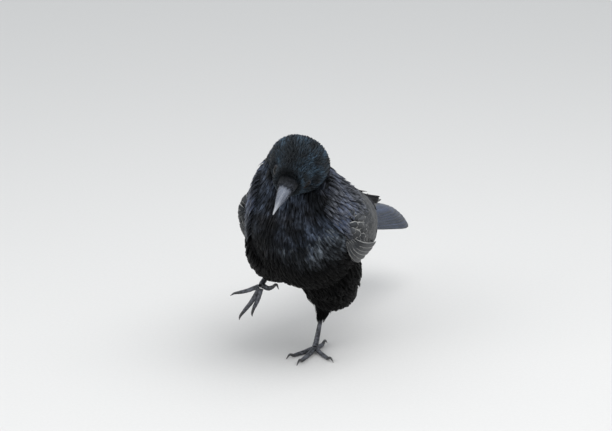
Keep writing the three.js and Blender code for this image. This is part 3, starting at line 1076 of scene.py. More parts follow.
FLIGHT_VANE = VaneShape(
    (0.0, 0.08, 0.18, 0.3, 0.42, 0.54, 0.66, 0.78, 0.87, 0.94, 0.98, 1.0),
    (0.2, 0.5, 0.78, 0.92, 0.98, 1.0, 1.0, 0.98, 0.9, 0.72, 0.46, 0.16),
    (
        (1, 0), (0.55, 0.3), (0.12, 0.4), (0, 0.9), (-0.12, 0.4),
        (-0.55, 0.3), (-1, 0), (-0.55, -0.2), (0, -0.6), (0.55, -0.2),
    ),
)


@dataclass
class Vanes:
    """A bunch of like feathers on one form, each from a root to a tip in the form's parameters.

    root and tip hold the two parameters, one row a feather; width and the heights of root and tip above the
    form are in millimetres; bow lifts the middle, cup bends the edges down, roll tilts the vane sideways.
    """

    form: Form
    shape: VaneShape
    root: Array
    tip: Array
    width: Array
    root_height: Array
    tip_height: Array
    fringe: Array
    bow: Array | float = 0.0
    cup: Array | float = 0.5
    roll: Array | float = 0.0
    thick: float = 0.35
    wear: float = 0.0
    tone: Array | float = 0.0

    def where(self, place: Array) -> Array:
        """Points of the form at the feathers' own parameters, such as their roots."""
        return self.form.point(place[:, 0], place[:, 1])

    def build(self) -> tuple[Array, Array, Array, Array, Array]:
        """Shapes all the feathers at once.

        The middle line runs evenly from root to tip over the form. Each section stands across it, straight
        but for the cup, at a height that grows with the square root of the way along.

        Returns:
            Points, faces, marks, vane map and tuft map.
        """
        count, sides = len(self.root), len(self.shape.section)
        t = np.array(self.shape.stations)
        widths = np.array(self.shape.widths)
        across, raised = np.array(self.shape.section, float).T
        line = self.root[:, None, :] + (self.tip - self.root)[:, None, :] * t[None, :, None]
        centre = self.form.point(line[..., 0], line[..., 1])
        normal = self.form.normal(line[..., 0], line[..., 1])
        ahead = np.gradient(centre, axis=1)
        ahead = unit(ahead - normal * np.sum(ahead * normal, -1, keepdims=True))
        aside = np.cross(normal, ahead)
        width, low, high, bow, cup, roll, thick = (
            np.broadcast_to(np.asarray(v, float), (count,))[:, None] for v in
            (self.width, self.root_height, self.tip_height, self.bow, self.cup, self.roll, self.thick)
        )
        half = width * widths[None] / 2
        height = low + (high - low) * np.sqrt(t)[None] + bow * np.sin(np.pi * t)[None]
        side_shift = half[..., None] * across
        body = thick[..., None] * raised * np.minimum(1, 0.3 + widths)[:, None]
        lift = height[..., None] + body - (cup * half / np.maximum(width / 2, TINY))[..., None] * across**2
        lift = lift + roll[..., None] * side_shift
        points = centre[:, :, None] + aside[:, :, None] * side_shift[..., None]
        points = (points + normal[:, :, None] * lift[..., None]).reshape(-1, 3)
        each = len(t) * sides
        faces = (self.shape.faces[None] + (np.arange(count) * each)[:, None, None]).reshape(-1, 4)
        vane = np.stack(np.broadcast_arrays((across[None] + 1) / 2, t[:, None]), -1).reshape(1, each, 2)
        tuft = self.form.flat(self.root[:, 0], self.root[:, 1])[:, None] + TUFT_PATCH * (vane - 0.5)
        marks = np.repeat(self.marks(centre[:, 0]), each, 0)
        return points, faces, marks, np.repeat(vane, count, 0).reshape(-1, 2), tuft.reshape(-1, 2)

    def marks(self, roots: Array) -> Array:
        """The plumage's marks at the roots' places, with the bunch's own wear, tone and fringe."""
        marks = plumage_marks(roots)
        marks[:, 0] = np.clip(marks[:, 0] + self.wear, 0, 1)
        marks[:, 2] = np.clip(marks[:, 2] + self.tone, 0, 1)
        return np.column_stack([marks, np.broadcast_to(self.fringe, (len(roots),))])


def select(bunch: Vanes, keep: Array) -> Vanes:
    """The feathers of a bunch that pass a test, from one truth value for each.

    Args:
        bunch: the feathers.
        keep: which of them to keep.

    Returns:
        The feathers kept.
    """
    picked = {
        name: value[keep] if isinstance(value, np.ndarray) and len(value) == len(keep) else value
        for name, value in vars(bunch).items()
    }
    return Vanes(**picked)


def lay(form: Form, root: Array, length: Array, turn: Array | float = 0.0) -> Array:
    """Tips of feathers that lie along the form: the length runs along the first parameter, turned a little.

    Args:
        form: what they lie on.
        root: their roots' parameters.
        length: in millimetres.
        turn: in radians, towards the second parameter.

    Returns:
        The tips' parameters.
    """
    slopes = form.slopes(root[:, 0], root[:, 1])
    along, across = (np.maximum(np.linalg.norm(slope, axis=-1), TINY) for slope in slopes)
    return root + np.stack([form.flow * length * np.cos(turn) / along, length * np.sin(turn) / across], -1)


SCAN = (160, 48)  # places along and across where a form's rows are measured
STRAY = (0.3, 0.22)  # how far roots stray, as shares of the spacing
SQUEEZE = 1.15  # the higher, the fewer roots are dropped where a row is squeezed


def scatter(form: Form, a: Span, b: Span, spacing: Sizes, rng: Random) -> Array:
    """Roots in staggered rows that keep their spacing on the form.

    Rows stand at equal counts of the spacing along the form's first parameter, and each holds as many roots
    as its own length allows; where a row is squeezed, some of its roots are dropped.

    Args:
        form: what they grow on.
        a: first and last value of the first parameter.
        b: first and last value of the second.
        spacing: in millimetres at even steps from a's first value to its last.
        rng: the source of the jitter.

    Returns:
        The roots' parameters, one row each.
    """
    rows = np.linspace(*a, SCAN[0])
    u, v = np.meshgrid(rows, np.linspace(*b, SCAN[1]), indexing="ij")
    along, across = (np.linalg.norm(s, axis=-1) for s in form.slopes(u, v))
    gap = np.interp(rows, np.linspace(*a, len(spacing)), spacing)
    counted = np.cumsum(along.mean(1) / gap) * (rows[1] - rows[0])
    picked = np.interp(np.arange(0.5, counted[-1]), counted, rows)
    turn = b[1] - b[0]
    widest = np.interp(picked, rows, across.max(1)) * turn
    each = np.maximum(3, widest / np.interp(picked, rows, gap)).astype(int)
    row = np.repeat(np.arange(len(picked)), each)
    slot = np.arange(len(row)) - np.repeat(np.cumsum(each) - each, each)
    stagger = 0.25 + 0.5 * (row % 2)
    share = (slot + stagger + rng.uniform(-STRAY[1], STRAY[1], len(row))) / each[row]
    step = np.gradient(picked)[row] if len(picked) > 1 else 0.0
    stray = rng.uniform(-STRAY[0], STRAY[0], len(row)) * step
    root = np.stack([picked[row] + stray, b[0] + turn * share], -1)
    here = np.linalg.norm(form.slopes(root[:, 0], root[:, 1])[1], axis=-1)
    return root[rng.uniform(0, 1, len(row)) < here / (widest[row] / turn) * SQUEEZE]


@dataclass
class Part:
    """A part of the bird: its place, every finish by what wears it, and its own draw of numbers."""

    site: Site
    finishes: dict[str, Finish]
    seed: int = field(default=0, kw_only=True)

    def __post_init__(self) -> None:
        """Starts the draw."""
        self.rng = np.random.default_rng(self.seed)

    def mesh(self, name: str, points: Array, faces: list[Array]) -> Piece:
        """A piece from points in millimetres."""
        return make_mesh(name, self.site.place(points), faces)

    def dress(self, piece: Piece, wearer: str, slot: str) -> None:
        """Gives the piece its wearer's finish and lets it ride on the bird."""
        piece.data.materials.append(self.finishes[wearer])
        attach(piece, "root")

    def mark(self, piece: Piece) -> None:
        """Gives skin the plumage's marks and painted light, without pale edges."""
        places = self.site.find(piece)
        set_marks(piece, np.column_stack([plumage_marks(places), np.zeros(len(places))]))

    def coat(self, name: str, bunches: list[Vanes], wearer: str, slot: str = "plumage") -> Piece:
        """Joins bunches of feathers into one piece.

        Args:
            name: the piece's name.
            bunches: its feathers.
            wearer: whose finish it gets.
            slot: the record's slot it stands for; not used.

        Returns:
            The piece.
        """
        built = [bunch.build() for bunch in bunches if len(bunch.root)]
        starts = np.cumsum([0, *(len(points) for points, *_ in built)])
        faces = np.concatenate([faces + start for (_, faces, *_), start in zip(built, starts)])
        points, _, marks, vane, tuft = (np.vstack(rows) for rows in zip(*built))
        piece = self.mesh(name, points, [faces])
        set_marks(piece, marks)
        set_uv(piece, "Vane", vane)
        set_uv(piece, "OFBake", np.clip(tuft, 0, 1))
        self.dress(piece, wearer, slot)
        LOG.info("%s: %d feathers, %d triangles", name, sum(len(b.root) for b in bunches), 2 * len(faces))
        return piece


# ---- The bird's parts ----


@dataclass
class Legs:
    """Sizes of both legs, in millimetres, shared by the skin, the trousers and the feet."""

    thigh_knots: dict[Side, tuple[Place, ...]] = field(default_factory=lambda: {
        Side.LEFT: (
            (13, 20, 128), (16, 7, 98), (15, -5, 78), (11, -11, 64),
            (7, -14, 54), (4, -15, 46), (2.6, -13, 38),
        ),
        Side.RIGHT: ((-24, 34, 130), (-34, 18, 112), (-42, -4, 99), (-45, -22, 94)),
    })
    thigh_radii: dict[Side, Sizes] = field(default_factory=lambda: {
        Side.LEFT: (28, 33, 29, 25, 15, 8, 4.5), Side.RIGHT: (38, 32, 22, 9),
    })
    shank_knots: dict[Side, tuple[Place, ...]] = field(default_factory=lambda: {
        Side.LEFT: ((4, -24, 60), (2.2, -11, 34), (0, -1.5, 8), (0, 1.5, 5)),
        Side.RIGHT: ((-44, -28, 95), (-47, -2, 87), (-50, 24, 77), (-50, 28, 75)),
    })
    shank_radii: Sizes = (3.6, 2.3, 3.0, 3.0)
    sock_ends: dict[Side, Place] = field(default_factory=lambda: {
        Side.LEFT: (1.6, -8, 26), Side.RIGHT: (-46.5, -7, 88.5),
    })
    sock_radius: float = 2.7

    def thigh(self, side: Side, **settings: object) -> LimbForm:
        """The feathered thigh's form."""
        knots = np.array([at(*p) for p in self.thigh_knots[side]])
        return LimbForm(knots=knots, radii=self.thigh_radii[side], **settings)

    def sock(self, side: Side) -> LimbForm:
        """The thigh's form carried on a little way down the shank, for the feathers that reach over it."""
        knots = np.array([at(*p) for p in (*self.thigh_knots[side], self.sock_ends[side])])
        return LimbForm(knots=knots, radii=(*self.thigh_radii[side], self.sock_radius))

    def shank(self, side: Side) -> LimbForm:
        """The bare shank's form."""
        return LimbForm(knots=np.array([at(*p) for p in self.shank_knots[side]]), radii=self.shank_radii)


@dataclass
class Skin(Part):
    """One skin for trunk, neck, head and thighs, inside the coat."""

    legs: Legs
    coat_depth: float = 5.0
    thigh_coat: float = 3.0
    voxel: float = 1.6
    body_grid: Rings = (170, 96)
    thigh_grid: Rings = (60, 48)
    easing: float = 0.5
    easings: int = 5

    def build(self) -> None:
        """Lofts the body and both thighs under the coat, then closes them into one skin without a seam."""
        shells = [(BodyForm(inset=self.coat_depth), self.body_grid)]
        shells += [(self.legs.thigh(side, inset=self.thigh_coat), self.thigh_grid) for side in Side]
        points, faces, start = [], [], 0
        for form, size in shells:
            ring_points = closed_rings(form.point(*grid(0, 1, *size)))
            faces += [f + start for f in grid_faces(*size)]
            points.append(ring_points)
            start += len(ring_points)
        piece = self.mesh("skin", np.vstack(points), faces)
        self.close(piece)
        self.mark(piece)
        self.dress(piece, "skin", "plumage")
        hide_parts("trunk", "neck", "head", "thigh_left", "thigh_right")
        LOG.info("skin: %d faces", len(piece.data.polygons))

    def close(self, piece: Piece) -> None:
        """Puts one even mesh round the shells, eases it and makes it the piece's own.

        Args:
            piece: the shells, in one mesh.
        """
        remesh = piece.modifiers.new("close", "REMESH")
        remesh.mode, remesh.voxel_size = "VOXEL", self.voxel * MM
        smooth = piece.modifiers.new("ease", "SMOOTH")
        smooth.factor, smooth.iterations = self.easing, self.easings
        shaped = bpy.data.meshes.new_from_object(piece.evaluated_get(bpy.context.evaluated_depsgraph_get()))
        piece.modifiers.clear()
        piece.data = shaped
        shaped.name = "skin"
        shaped.polygons.foreach_set("use_smooth", np.ones(len(shaped.polygons), bool))


@dataclass(frozen=True)
class CoatPatch:
    """Feathers of one region of the body: where they grow, and their sizes along the region."""

    name: str
    shape: VaneShape
    a: Span
    b: Span
    spacing: Sizes
    length: Sizes
    width: Sizes
    depth: Sizes  # how far the roots lie under the outer form
    proud: float = 0.2  # how far the tips stand over it
    ragged: float = 0.4  # how much the tips vary
    sway: float = 0.14
    fringe: float = 0.0
    wear: float = 0.0
    tone_spread: float = 0.22
    clumping: float = 0.8  # share of the sway that neighbours have in common
    longest: float = 1.35  # feathers stretched further are left out

    def bunch(self, form: Form, rng: Random, keep: Callable[[Array], Array] | None = None) -> Vanes:
        """The region's feathers on a form, each drawn out or in once towards its length.

        Args:
            form: what they grow on.
            rng: the source of their variation.
            keep: a test of the roots' places, or None.

        Returns:
            The feathers.
        """
        root = scatter(form, self.a, self.b, self.spacing, rng)
        if keep is not None:
            root = root[keep(form.point(root[:, 0], root[:, 1]))]
        length, width, depth = (
            np.interp(root[:, 0], np.linspace(*self.a, len(sizes)), sizes) for sizes in
            (self.length, self.width, self.depth)
        )
        vary = rng.uniform(-1, 1, (6, len(root)))
        length = length * (1 + 0.18 * vary[0])
        tip = lay(form, root, length, self.sway * (vary[1] + self.clumping * self.clumps(root)))
        start = form.point(root[:, 0], root[:, 1])
        span = np.linalg.norm(form.point(tip[:, 0], tip[:, 1]) - start, axis=-1)
        tip = root + (tip - root) * np.clip(length / span, 0.4, 1.3)[:, None]
        span = np.linalg.norm(form.point(tip[:, 0], tip[:, 1]) - start, axis=-1)
        bunch = Vanes(
            form, self.shape, root, tip, width * (1 + 0.15 * vary[2]), -depth,
            self.proud + self.ragged * vary[3], self.fringe * (0.7 + 0.3 * vary[4]), bow=0.04 * length,
            cup=0.07 * width, roll=0.16 * vary[5], thick=0.3 + 0.015 * width, wear=self.wear,
            tone=self.tone_spread * vary[4],
        )
        return select(bunch, span < self.longest * length)

    @staticmethod
    def clumps(root: Array) -> Array:
        """Which way the feathers' clumps lean, -1 to 1: two waves that run across each other."""
        a, b = root.T
        return np.sin(a * 31 + b * 23) * 0.5 + np.sin(b * 44 - a * 19) * 0.5


def trouser_patches() -> dict[Side, CoatPatch]:
    """The feathers of both thighs: long on the standing leg, shorter on the leg that swings.

    Returns:
        One patch for each thigh.
    """
    shared = {"proud": 1.0, "ragged": 1.6, "sway": 0.30, "tone_spread": 0.34}
    return {
        Side.LEFT: CoatPatch(
            "trousers_left", NARROW_LOCK, (-0.02, 0.83), (0.0, 1.0), (3.0, 2.9, 2.6, 2.1, 1.2),
            (26, 26, 24, 17, 11), (3.8, 3.6, 3.2, 2.4, 1.3), (3.6, 3.4, 3.0, 2.2, 0.8), **shared,
        ),
        Side.RIGHT: CoatPatch(
            "trousers_right", NARROW_LOCK, (-0.02, 0.72), (0.0, 1.0), (3.0, 2.7, 2.2, 1.5),
            (26, 24, 18, 11), (3.8, 3.4, 2.8, 1.5), (3.6, 3.2, 2.4, 0.9), **shared,
        ),
    }


@dataclass
class BodyCoat(Part):
    """The feathers of head, neck, back, breast, belly and both trousers."""

    legs: Legs
    body: BodyForm = field(default_factory=BodyForm)
    lid_reach: float = 5.9  # how near an eye the feathers come
    bill_reach: float = 1.4  # and how near the bill's middle line
    bill_line: Span = (9.0, 40.0)  # that line, ahead of the eyes
    bill_drop: float = -2.0
    brow_rise: float = 2.9
    brow: tuple[Span, Span] = ((0.87, 0.95), (0.1, 0.5))  # where it starts and is full, along and up the head
    parting: Span = (0.952, 0.964)  # the parting before the bristles, darkened with painted shade as its groove's shadow
    thigh_cover: float = 15.0  # how deep under a thigh's form feathers are left out
    body_cover: float = 8.0  # the same under the body's form
    thigh_tops: tuple[Patch, ...] = (Patch((20, 46, 106), (26, 16, 12)), Patch((-38, 36, 118), (16, 18, 12)))
    hang: float = 9.0  # how far the belly's feathers stand off over the thighs' tops

    crown: CoatPatch = CoatPatch(
        "head_feathers", FACE_TUFT, (0.625, 1.0), (0.0, 1.0), (1.95, 1.65, 1.35, 1.1, 0.9),
        (9.0, 7.4, 5.8, 4.2, 3.0), (1.8, 1.55, 1.25, 1.0, 0.8), (1.9, 1.7, 1.4, 1.1, 0.9),
        proud=0.3, ragged=0.75, sway=0.26, tone_spread=0.6,
    )
    hackles: CoatPatch = CoatPatch(
        "neck_hackles", NARROW_LOCK, (0.40, 0.64), (0.0, 1.0),
        (2.9, 2.6, 2.2), (19, 16, 11), (3.4, 2.9, 2.1), (3.8, 3.2, 2.0),
        proud=0.5, ragged=0.8, sway=0.16, fringe=0.12, tone_spread=0.3,
    )
    throat: CoatPatch = CoatPatch(
        "throat_hackles", NARROW_LOCK, (-0.03, 0.8), (0.0, 1.0),
        (2.3, 2.6, 2.9), (12, 15, 18), (2.2, 2.6, 3.2), (0.6, 1.4, 2.2),
        proud=0.9, ragged=0.8, sway=0.16, fringe=0.06, wear=0.15, tone_spread=0.3,
    )
    mantle: CoatPatch = CoatPatch(
        "mantle_feathers", ROUND_VANE, (0.0, 0.42), (-0.03, 0.53),
        (4.8, 4.9, 4.8, 4.4), (20, 25, 24, 19), (9, 11, 10.5, 8), (3.0, 4.4, 4.4, 4.0),
        proud=0.3, ragged=0.35, fringe=0.45, wear=0.2,
    )
    breast: CoatPatch = CoatPatch(
        "breast_feathers", NARROW_LOCK, (0.055, 0.43), (0.49, 1.01),
        (3.1, 3.0, 2.8), (25, 24, 20), (3.9, 3.7, 3.3), (4.8, 4.6, 4.0),
        proud=0.4, ragged=0.8, sway=0.15, fringe=0.05, tone_spread=0.3,
    )
    drapes: tuple[CoatPatch, ...] = tuple(
        CoatPatch(
            f"shoulder_feathers_{name}", NARROW_LOCK, (0.35, 0.47), span,
            (3.0, 2.8), (20, 18), (4.4, 4.0), (2.5, 2.5),
            proud=6.0, ragged=0.8, sway=0.14, fringe=0.8, wear=0.15, tone_spread=0.45,
        )
        for name, span in (("left", (-0.05, 0.12)), ("right", (0.38, 0.59)))
    )
    trousers: dict[Side, CoatPatch] = field(default_factory=trouser_patches)

    def build(self) -> None:
        """Lays the feathers region by region, leaving bare what another part covers."""
        self.coat("head_feathers", [self.head()], "head")
        for patch, wearer in ((self.hackles, "neck"), (self.mantle, "mantle"), (self.breast, "breast")):
            self.coat(patch.name, [self.trunk(patch)], wearer)
        for drape in self.drapes:
            self.coat(drape.name, [drape.bunch(self.body, self.rng)], "shoulder")
        self.coat("throat_hackles", [self.front_of_throat()], "neck")
        for side, patch in self.trousers.items():
            self.coat(patch.name, self.thigh_coat(patch, self.legs.sock(side)), "breast")

    def head(self) -> Vanes:
        """The head's tufts, kept off the lids and the bill, raised at the brow and darkened along the parting
        as painted shade.

        Returns:
            The tufts.
        """
        eyes = [Eye(self.site, self.finishes, side).front for side in Side]
        ahead = np.linspace(*self.bill_line, 9)
        bill_line = in_head(np.zeros_like(ahead), ahead, np.full_like(ahead, self.bill_drop))

        def off_lids(points: Array) -> Array:
            """Whether points leave both eyes bare."""
            return np.all([np.linalg.norm(points - eye, axis=-1) > self.lid_reach for eye in eyes], axis=0)

        def off_face(points: Array) -> Array:
            """Whether points leave the eyes and the bill bare."""
            from_bill = np.linalg.norm(points[:, None] - bill_line, axis=-1).min(1)
            return off_lids(points) & (from_bill > self.bill_reach)

        head = self.crown.bunch(self.body, self.rng, off_face)
        tips = head.where(head.tip)
        head = select(head, off_lids(tips) & off_lids((tips + head.where(head.root)) / 2))
        along, around = head.root.T
        parting = smoothstep(*self.parting, along)
        brow = smoothstep(*self.brow[0], along) * smoothstep(*self.brow[1], np.sin(2 * np.pi * around))
        brow = self.brow_rise * brow * (1 - 0.8 * parting)
        # painted shade: the tufts along the parting are darkened as the groove's shadow
        head.tone = head.tone - 1.5 * parting
        head.root_height, head.tip_height = head.root_height + brow, head.tip_height + 0.5 * brow
        return head

    def trunk(self, patch: CoatPatch) -> Vanes:
        """The feathers of one region of the trunk, off the thighs and hanging free over their tops.

        Args:
            patch: the region.

        Returns:
            Its feathers.
        """
        thighs = [self.legs.thigh(side) for side in Side]

        def off_thighs(points: Array) -> Array:
            """Whether points are clear of both thighs."""
            return np.all([thigh.buried(points) < self.thigh_cover for thigh in thighs], axis=0)

        bunch = patch.bunch(self.body, self.rng, off_thighs)
        roots = bunch.where(bunch.root)
        over_thigh = np.max([top.share(roots) for top in self.thigh_tops], axis=0)
        bunch.tip_height = bunch.tip_height + self.hang * over_thigh
        return bunch

    def front_of_throat(self) -> Vanes:
        """The throat's hackles, sunk where they start at the cheeks and left out at the left one.

        Returns:
            The hackles.
        """
        throat = self.throat.bunch(ThroatForm(), self.rng)
        down, across = throat.root.T
        at_cheek = smoothstep(0.55, 0.95, np.abs(2 * across - 1)) * smoothstep(0.3, 0.0, down)
        throat.root_height = throat.root_height - 5.0 * at_cheek
        return select(throat, (at_cheek < 0.25) | (across < 0.5))

    def thigh_coat(self, patch: CoatPatch, thigh: LimbForm) -> list[Vanes]:
        """Long shaggy feathers down one thigh, shorter towards the heel, and loose wisps over them.

        Args:
            patch: the thigh's feathers.
            thigh: what they grow on.

        Returns:
            The feathers and the wisps.
        """
        heel = patch.a[1]
        wisps = replace(
            patch, a=(0.35, heel - 0.08), spacing=(6.0, 4.0), length=(24, 18, 12), width=(2.0, 1.1),
            depth=(0.8, 0.3), proud=2.0, ragged=1.8, sway=0.4,
        )

        def outside(points: Array) -> Array:
            """Whether points are clear of the body."""
            return self.body.buried(points) < self.body_cover

        bunches = [layer.bunch(thigh, self.rng, outside) for layer in (patch, wisps)]
        for bunch in bunches:
            bunch.tip[:, 0] = np.minimum(bunch.tip[:, 0], 1.0)
            bunch.tip_height = bunch.tip_height * (1 - 0.8 * smoothstep(heel - 0.12, heel, bunch.root[:, 0]))
        return bunches


@dataclass(frozen=True)
class Band:
    """A band of a wing's feathers, whose roots and tips stand on two lines across it."""

    shape: VaneShape
    count: int
    roots: tuple[Span, Span]  # the wing's parameters at the first and at the last root
    tips: tuple[Span, Span]  # the same at the tips
    widths: Span  # of the first and of the last feather
    heights: Span  # of the roots and of the tips over the wing's outer face
    fringe: float
    wear: float
    layers: float = 1.2  # how much lower the last tip lies than the first
    bow: float = 0.4
    cup: float = 0.8
    thick: float = 0.6
    stray: Span = (0.006, 0.008)  # how far the tips stray, in the wing's parameters
    tone_spread: float = 0.16

    def bunch(self, form: WingForm, rng: Random, dim: float) -> Vanes:
        """The band's feathers on a wing.

        Args:
            form: the wing.
            rng: the source of their variation.
            dim: how much darker and less worn they are, as painted shade.

        Returns:
            The feathers.
        """
        share = np.linspace(0, 1, self.count)[:, None]
        root, tip = (first + (last - first) * share for first, last in np.array([self.roots, self.tips]))
        tip = tip + rng.uniform(-1, 1, (self.count, 2)) * self.stray
        layer = (share[:, 0] - 0.5) * self.layers
        fringe = np.full(self.count, self.fringe) * rng.uniform(0.7, 1.1, self.count)
        tone = rng.uniform(-self.tone_spread, self.tone_spread, self.count) - dim
        return Vanes(
            form, self.shape, root, tip, self.widths[0] + (self.widths[1] - self.widths[0]) * share[:, 0],
            self.heights[0] + layer * 0.6, self.heights[1] - layer, fringe, bow=self.bow, cup=self.cup,
            thick=self.thick, tone=tone, wear=self.wear - dim,
        )


@dataclass
class Wing(Part):
    """One folded wing: a thin bed, coverts in rows and bands, tertials, secondaries and primaries."""

    side: Side
    held: Span
    dim: float = 0.0  # painted shade of the far wing, turned from the light: how much darker and less worn it is than the other
    bed_grid: Rings = (70, 20)  # rings, and points on each face
    bed_end: Span = (0.01, 0.9)
    bed_inset: float = 2.4  # how far the bed lies under the outer face
    bed_thin: float = 0.3
    bed_thick: float = 5.0

    # Two bands of median coverts, one of greater and one of primary coverts.
    covert_bands: tuple[Band, ...] = (
        Band(COVERT_VANE, 9, ((0.19, 0.05), (0.21, 0.98)), ((0.31, 0.07), (0.315, 0.97)), (13, 11),
             (-0.6, 1.1), 0.42, 0.35, bow=0.6, cup=1.0, thick=0.5),
        Band(COVERT_VANE, 10, ((0.245, 0.04), (0.25, 1.0)), ((0.375, 0.08), (0.37, 0.98)), (14, 11),
             (-0.8, 0.8), 0.36, 0.38, bow=0.6, cup=1.0, thick=0.5),
        Band(COVERT_VANE, 12, ((0.29, 0.06), (0.27, 1.0)), ((0.47, 0.1), (0.455, 0.97)), (16, 11),
             (-1.2, 0.5), 0.36, 0.4, bow=0.6, cup=1.2, thick=0.55),
        Band(FLIGHT_VANE, 5, ((0.10, 0.86), (0.05, 1.02)), ((0.40, 0.88), (0.32, 1.07)), (6.5, 6),
             (0.5, 2.2), 0.95, 0.3, layers=2.8, cup=0.1, thick=0.4),
    )
    # Primaries, the outer secondaries along the lower edge, and the inner ones over them.
    remex_bands: tuple[Band, ...] = (
        Band(POINTED_VANE, 7, ((0.40, 0.62), (0.30, 0.99)), ((0.84, 0.62), (1.045, 0.2)), (14, 9),
             (-2.2, -0.6), 0.25, -0.1, layers=2.2, bow=0.2),
        Band(FLIGHT_VANE, 6, ((0.24, 0.86), (0.17, 1.06)), ((0.66, 0.9), (0.42, 1.07)), (12, 8),
             (-0.9, 0.2), 0.8, 0.25, layers=3.2, bow=0.5, cup=0.5, thick=0.7),
        Band(FLIGHT_VANE, 9, ((0.38, 0.14), (0.38, 0.94)), ((0.71, 0.2), (0.60, 0.95)), (20, 14),
             (-1.7, -0.2), 0.55, 0.28, layers=1.6, bow=0.2, cup=1.4),
    )
    # Tertials, the blades of the top edge and those of the tip.
    blade_bands: tuple[Band, ...] = (
        Band(FLIGHT_VANE, 4, ((0.33, 0.04), (0.36, 0.3)), ((0.74, 0.08), (0.67, 0.36)), (19, 20),
             (-0.9, 0.6), 0.3, 0.2, layers=-1.2, cup=1.6),
        Band(POINTED_VANE, 2, ((0.36, 0.02), (0.40, 0.05)), ((0.61, -0.04), (0.68, -0.02)), (11, 11),
             (-0.8, 0.9), 0.0, -0.3, layers=-1.0, bow=0.6, cup=1.0),
        Band(POINTED_VANE, 3, ((0.52, 0.1), (0.56, 0.45)), ((1.02, 0.03), (0.95, 0.4)), (9, 8),
             (-0.6, 0.9), 0.0, -0.3, layers=1.4),
    )

    def __post_init__(self) -> None:
        """Starts the draw and shapes the wing's outer face."""
        super().__post_init__()
        self.form = WingForm(side=self.side, held=self.held)

    def build(self) -> None:
        """Builds the bed and lays the feathers on it, each band over the next."""
        bed = self.bed()
        for name, wearer, first, bands in (
            ("coverts", "covert", [self.lesser_coverts()], self.covert_bands),
            ("remiges", "flight", [], self.remex_bands),
            ("wing_tips", "blade", [], self.blade_bands),
        ):
            bunches = first + [band.bunch(self.form, self.rng, self.dim) for band in bands]
            self.coat(f"{name}_{self.side.word}", bunches, wearer, "flight_feathers")
        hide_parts(f"wing_{self.side.word}")

    def bed(self) -> Piece:
        """A thin closed blade just under the outer face, narrower to the tip and thinner at both edges.

        Returns:
            The bed.
        """
        rings, half = self.bed_grid
        u = np.linspace(*self.bed_end, rings)[:, None] * np.ones(half)
        share = np.linspace(-0.5, 0.5, half)[None] * np.ones((rings, 1))
        v = 0.5 + share * (0.92 - 0.4 * smoothstep(0.5, 0.9, u))
        outer = self.form.shell(u, v, self.bed_inset)
        thickness = between(np.array(self.form.thickness)[:, None], u)[..., 0]
        depth = thickness * (0.1 + 0.45 * np.sqrt(4 * v * (1 - v)))
        inner = self.form.shell(u, v, self.bed_inset + self.bed_thin + np.minimum(depth, self.bed_thick))
        points = closed_rings(np.concatenate([outer, inner[:, ::-1]], 1))
        faces = grid_faces(rings, 2 * half, flip=self.side is Side.LEFT)
        piece = self.mesh(f"wing_bed_{self.side.word}", points, faces)
        self.mark(piece)
        self.dress(piece, "wing_bed", "flight_feathers")
        return piece

    def lesser_coverts(self) -> Vanes:
        """Small round feathers in rows over the wing's front.

        Returns:
            The feathers.
        """
        root = scatter(self.form, (-0.02, 0.27), (-0.05, 1.03), (4.4, 5.4), self.rng)
        vary = self.rng.uniform(-1, 1, (4, len(root)))
        tip = lay(self.form, root, 12 * (1 + 0.12 * vary[0]), 0.12 * vary[1])
        return Vanes(
            self.form, ROUND_VANE, root, tip, 8.2 + 0.8 * vary[2], np.full(len(root), -1.6),
            0.9 + 0.3 * vary[3], 0.9 + 0.25 * vary[0], bow=0.5, cup=0.7, thick=0.4, wear=0.4 - self.dim,
            tone=0.2 * vary[1] - self.dim,
        )


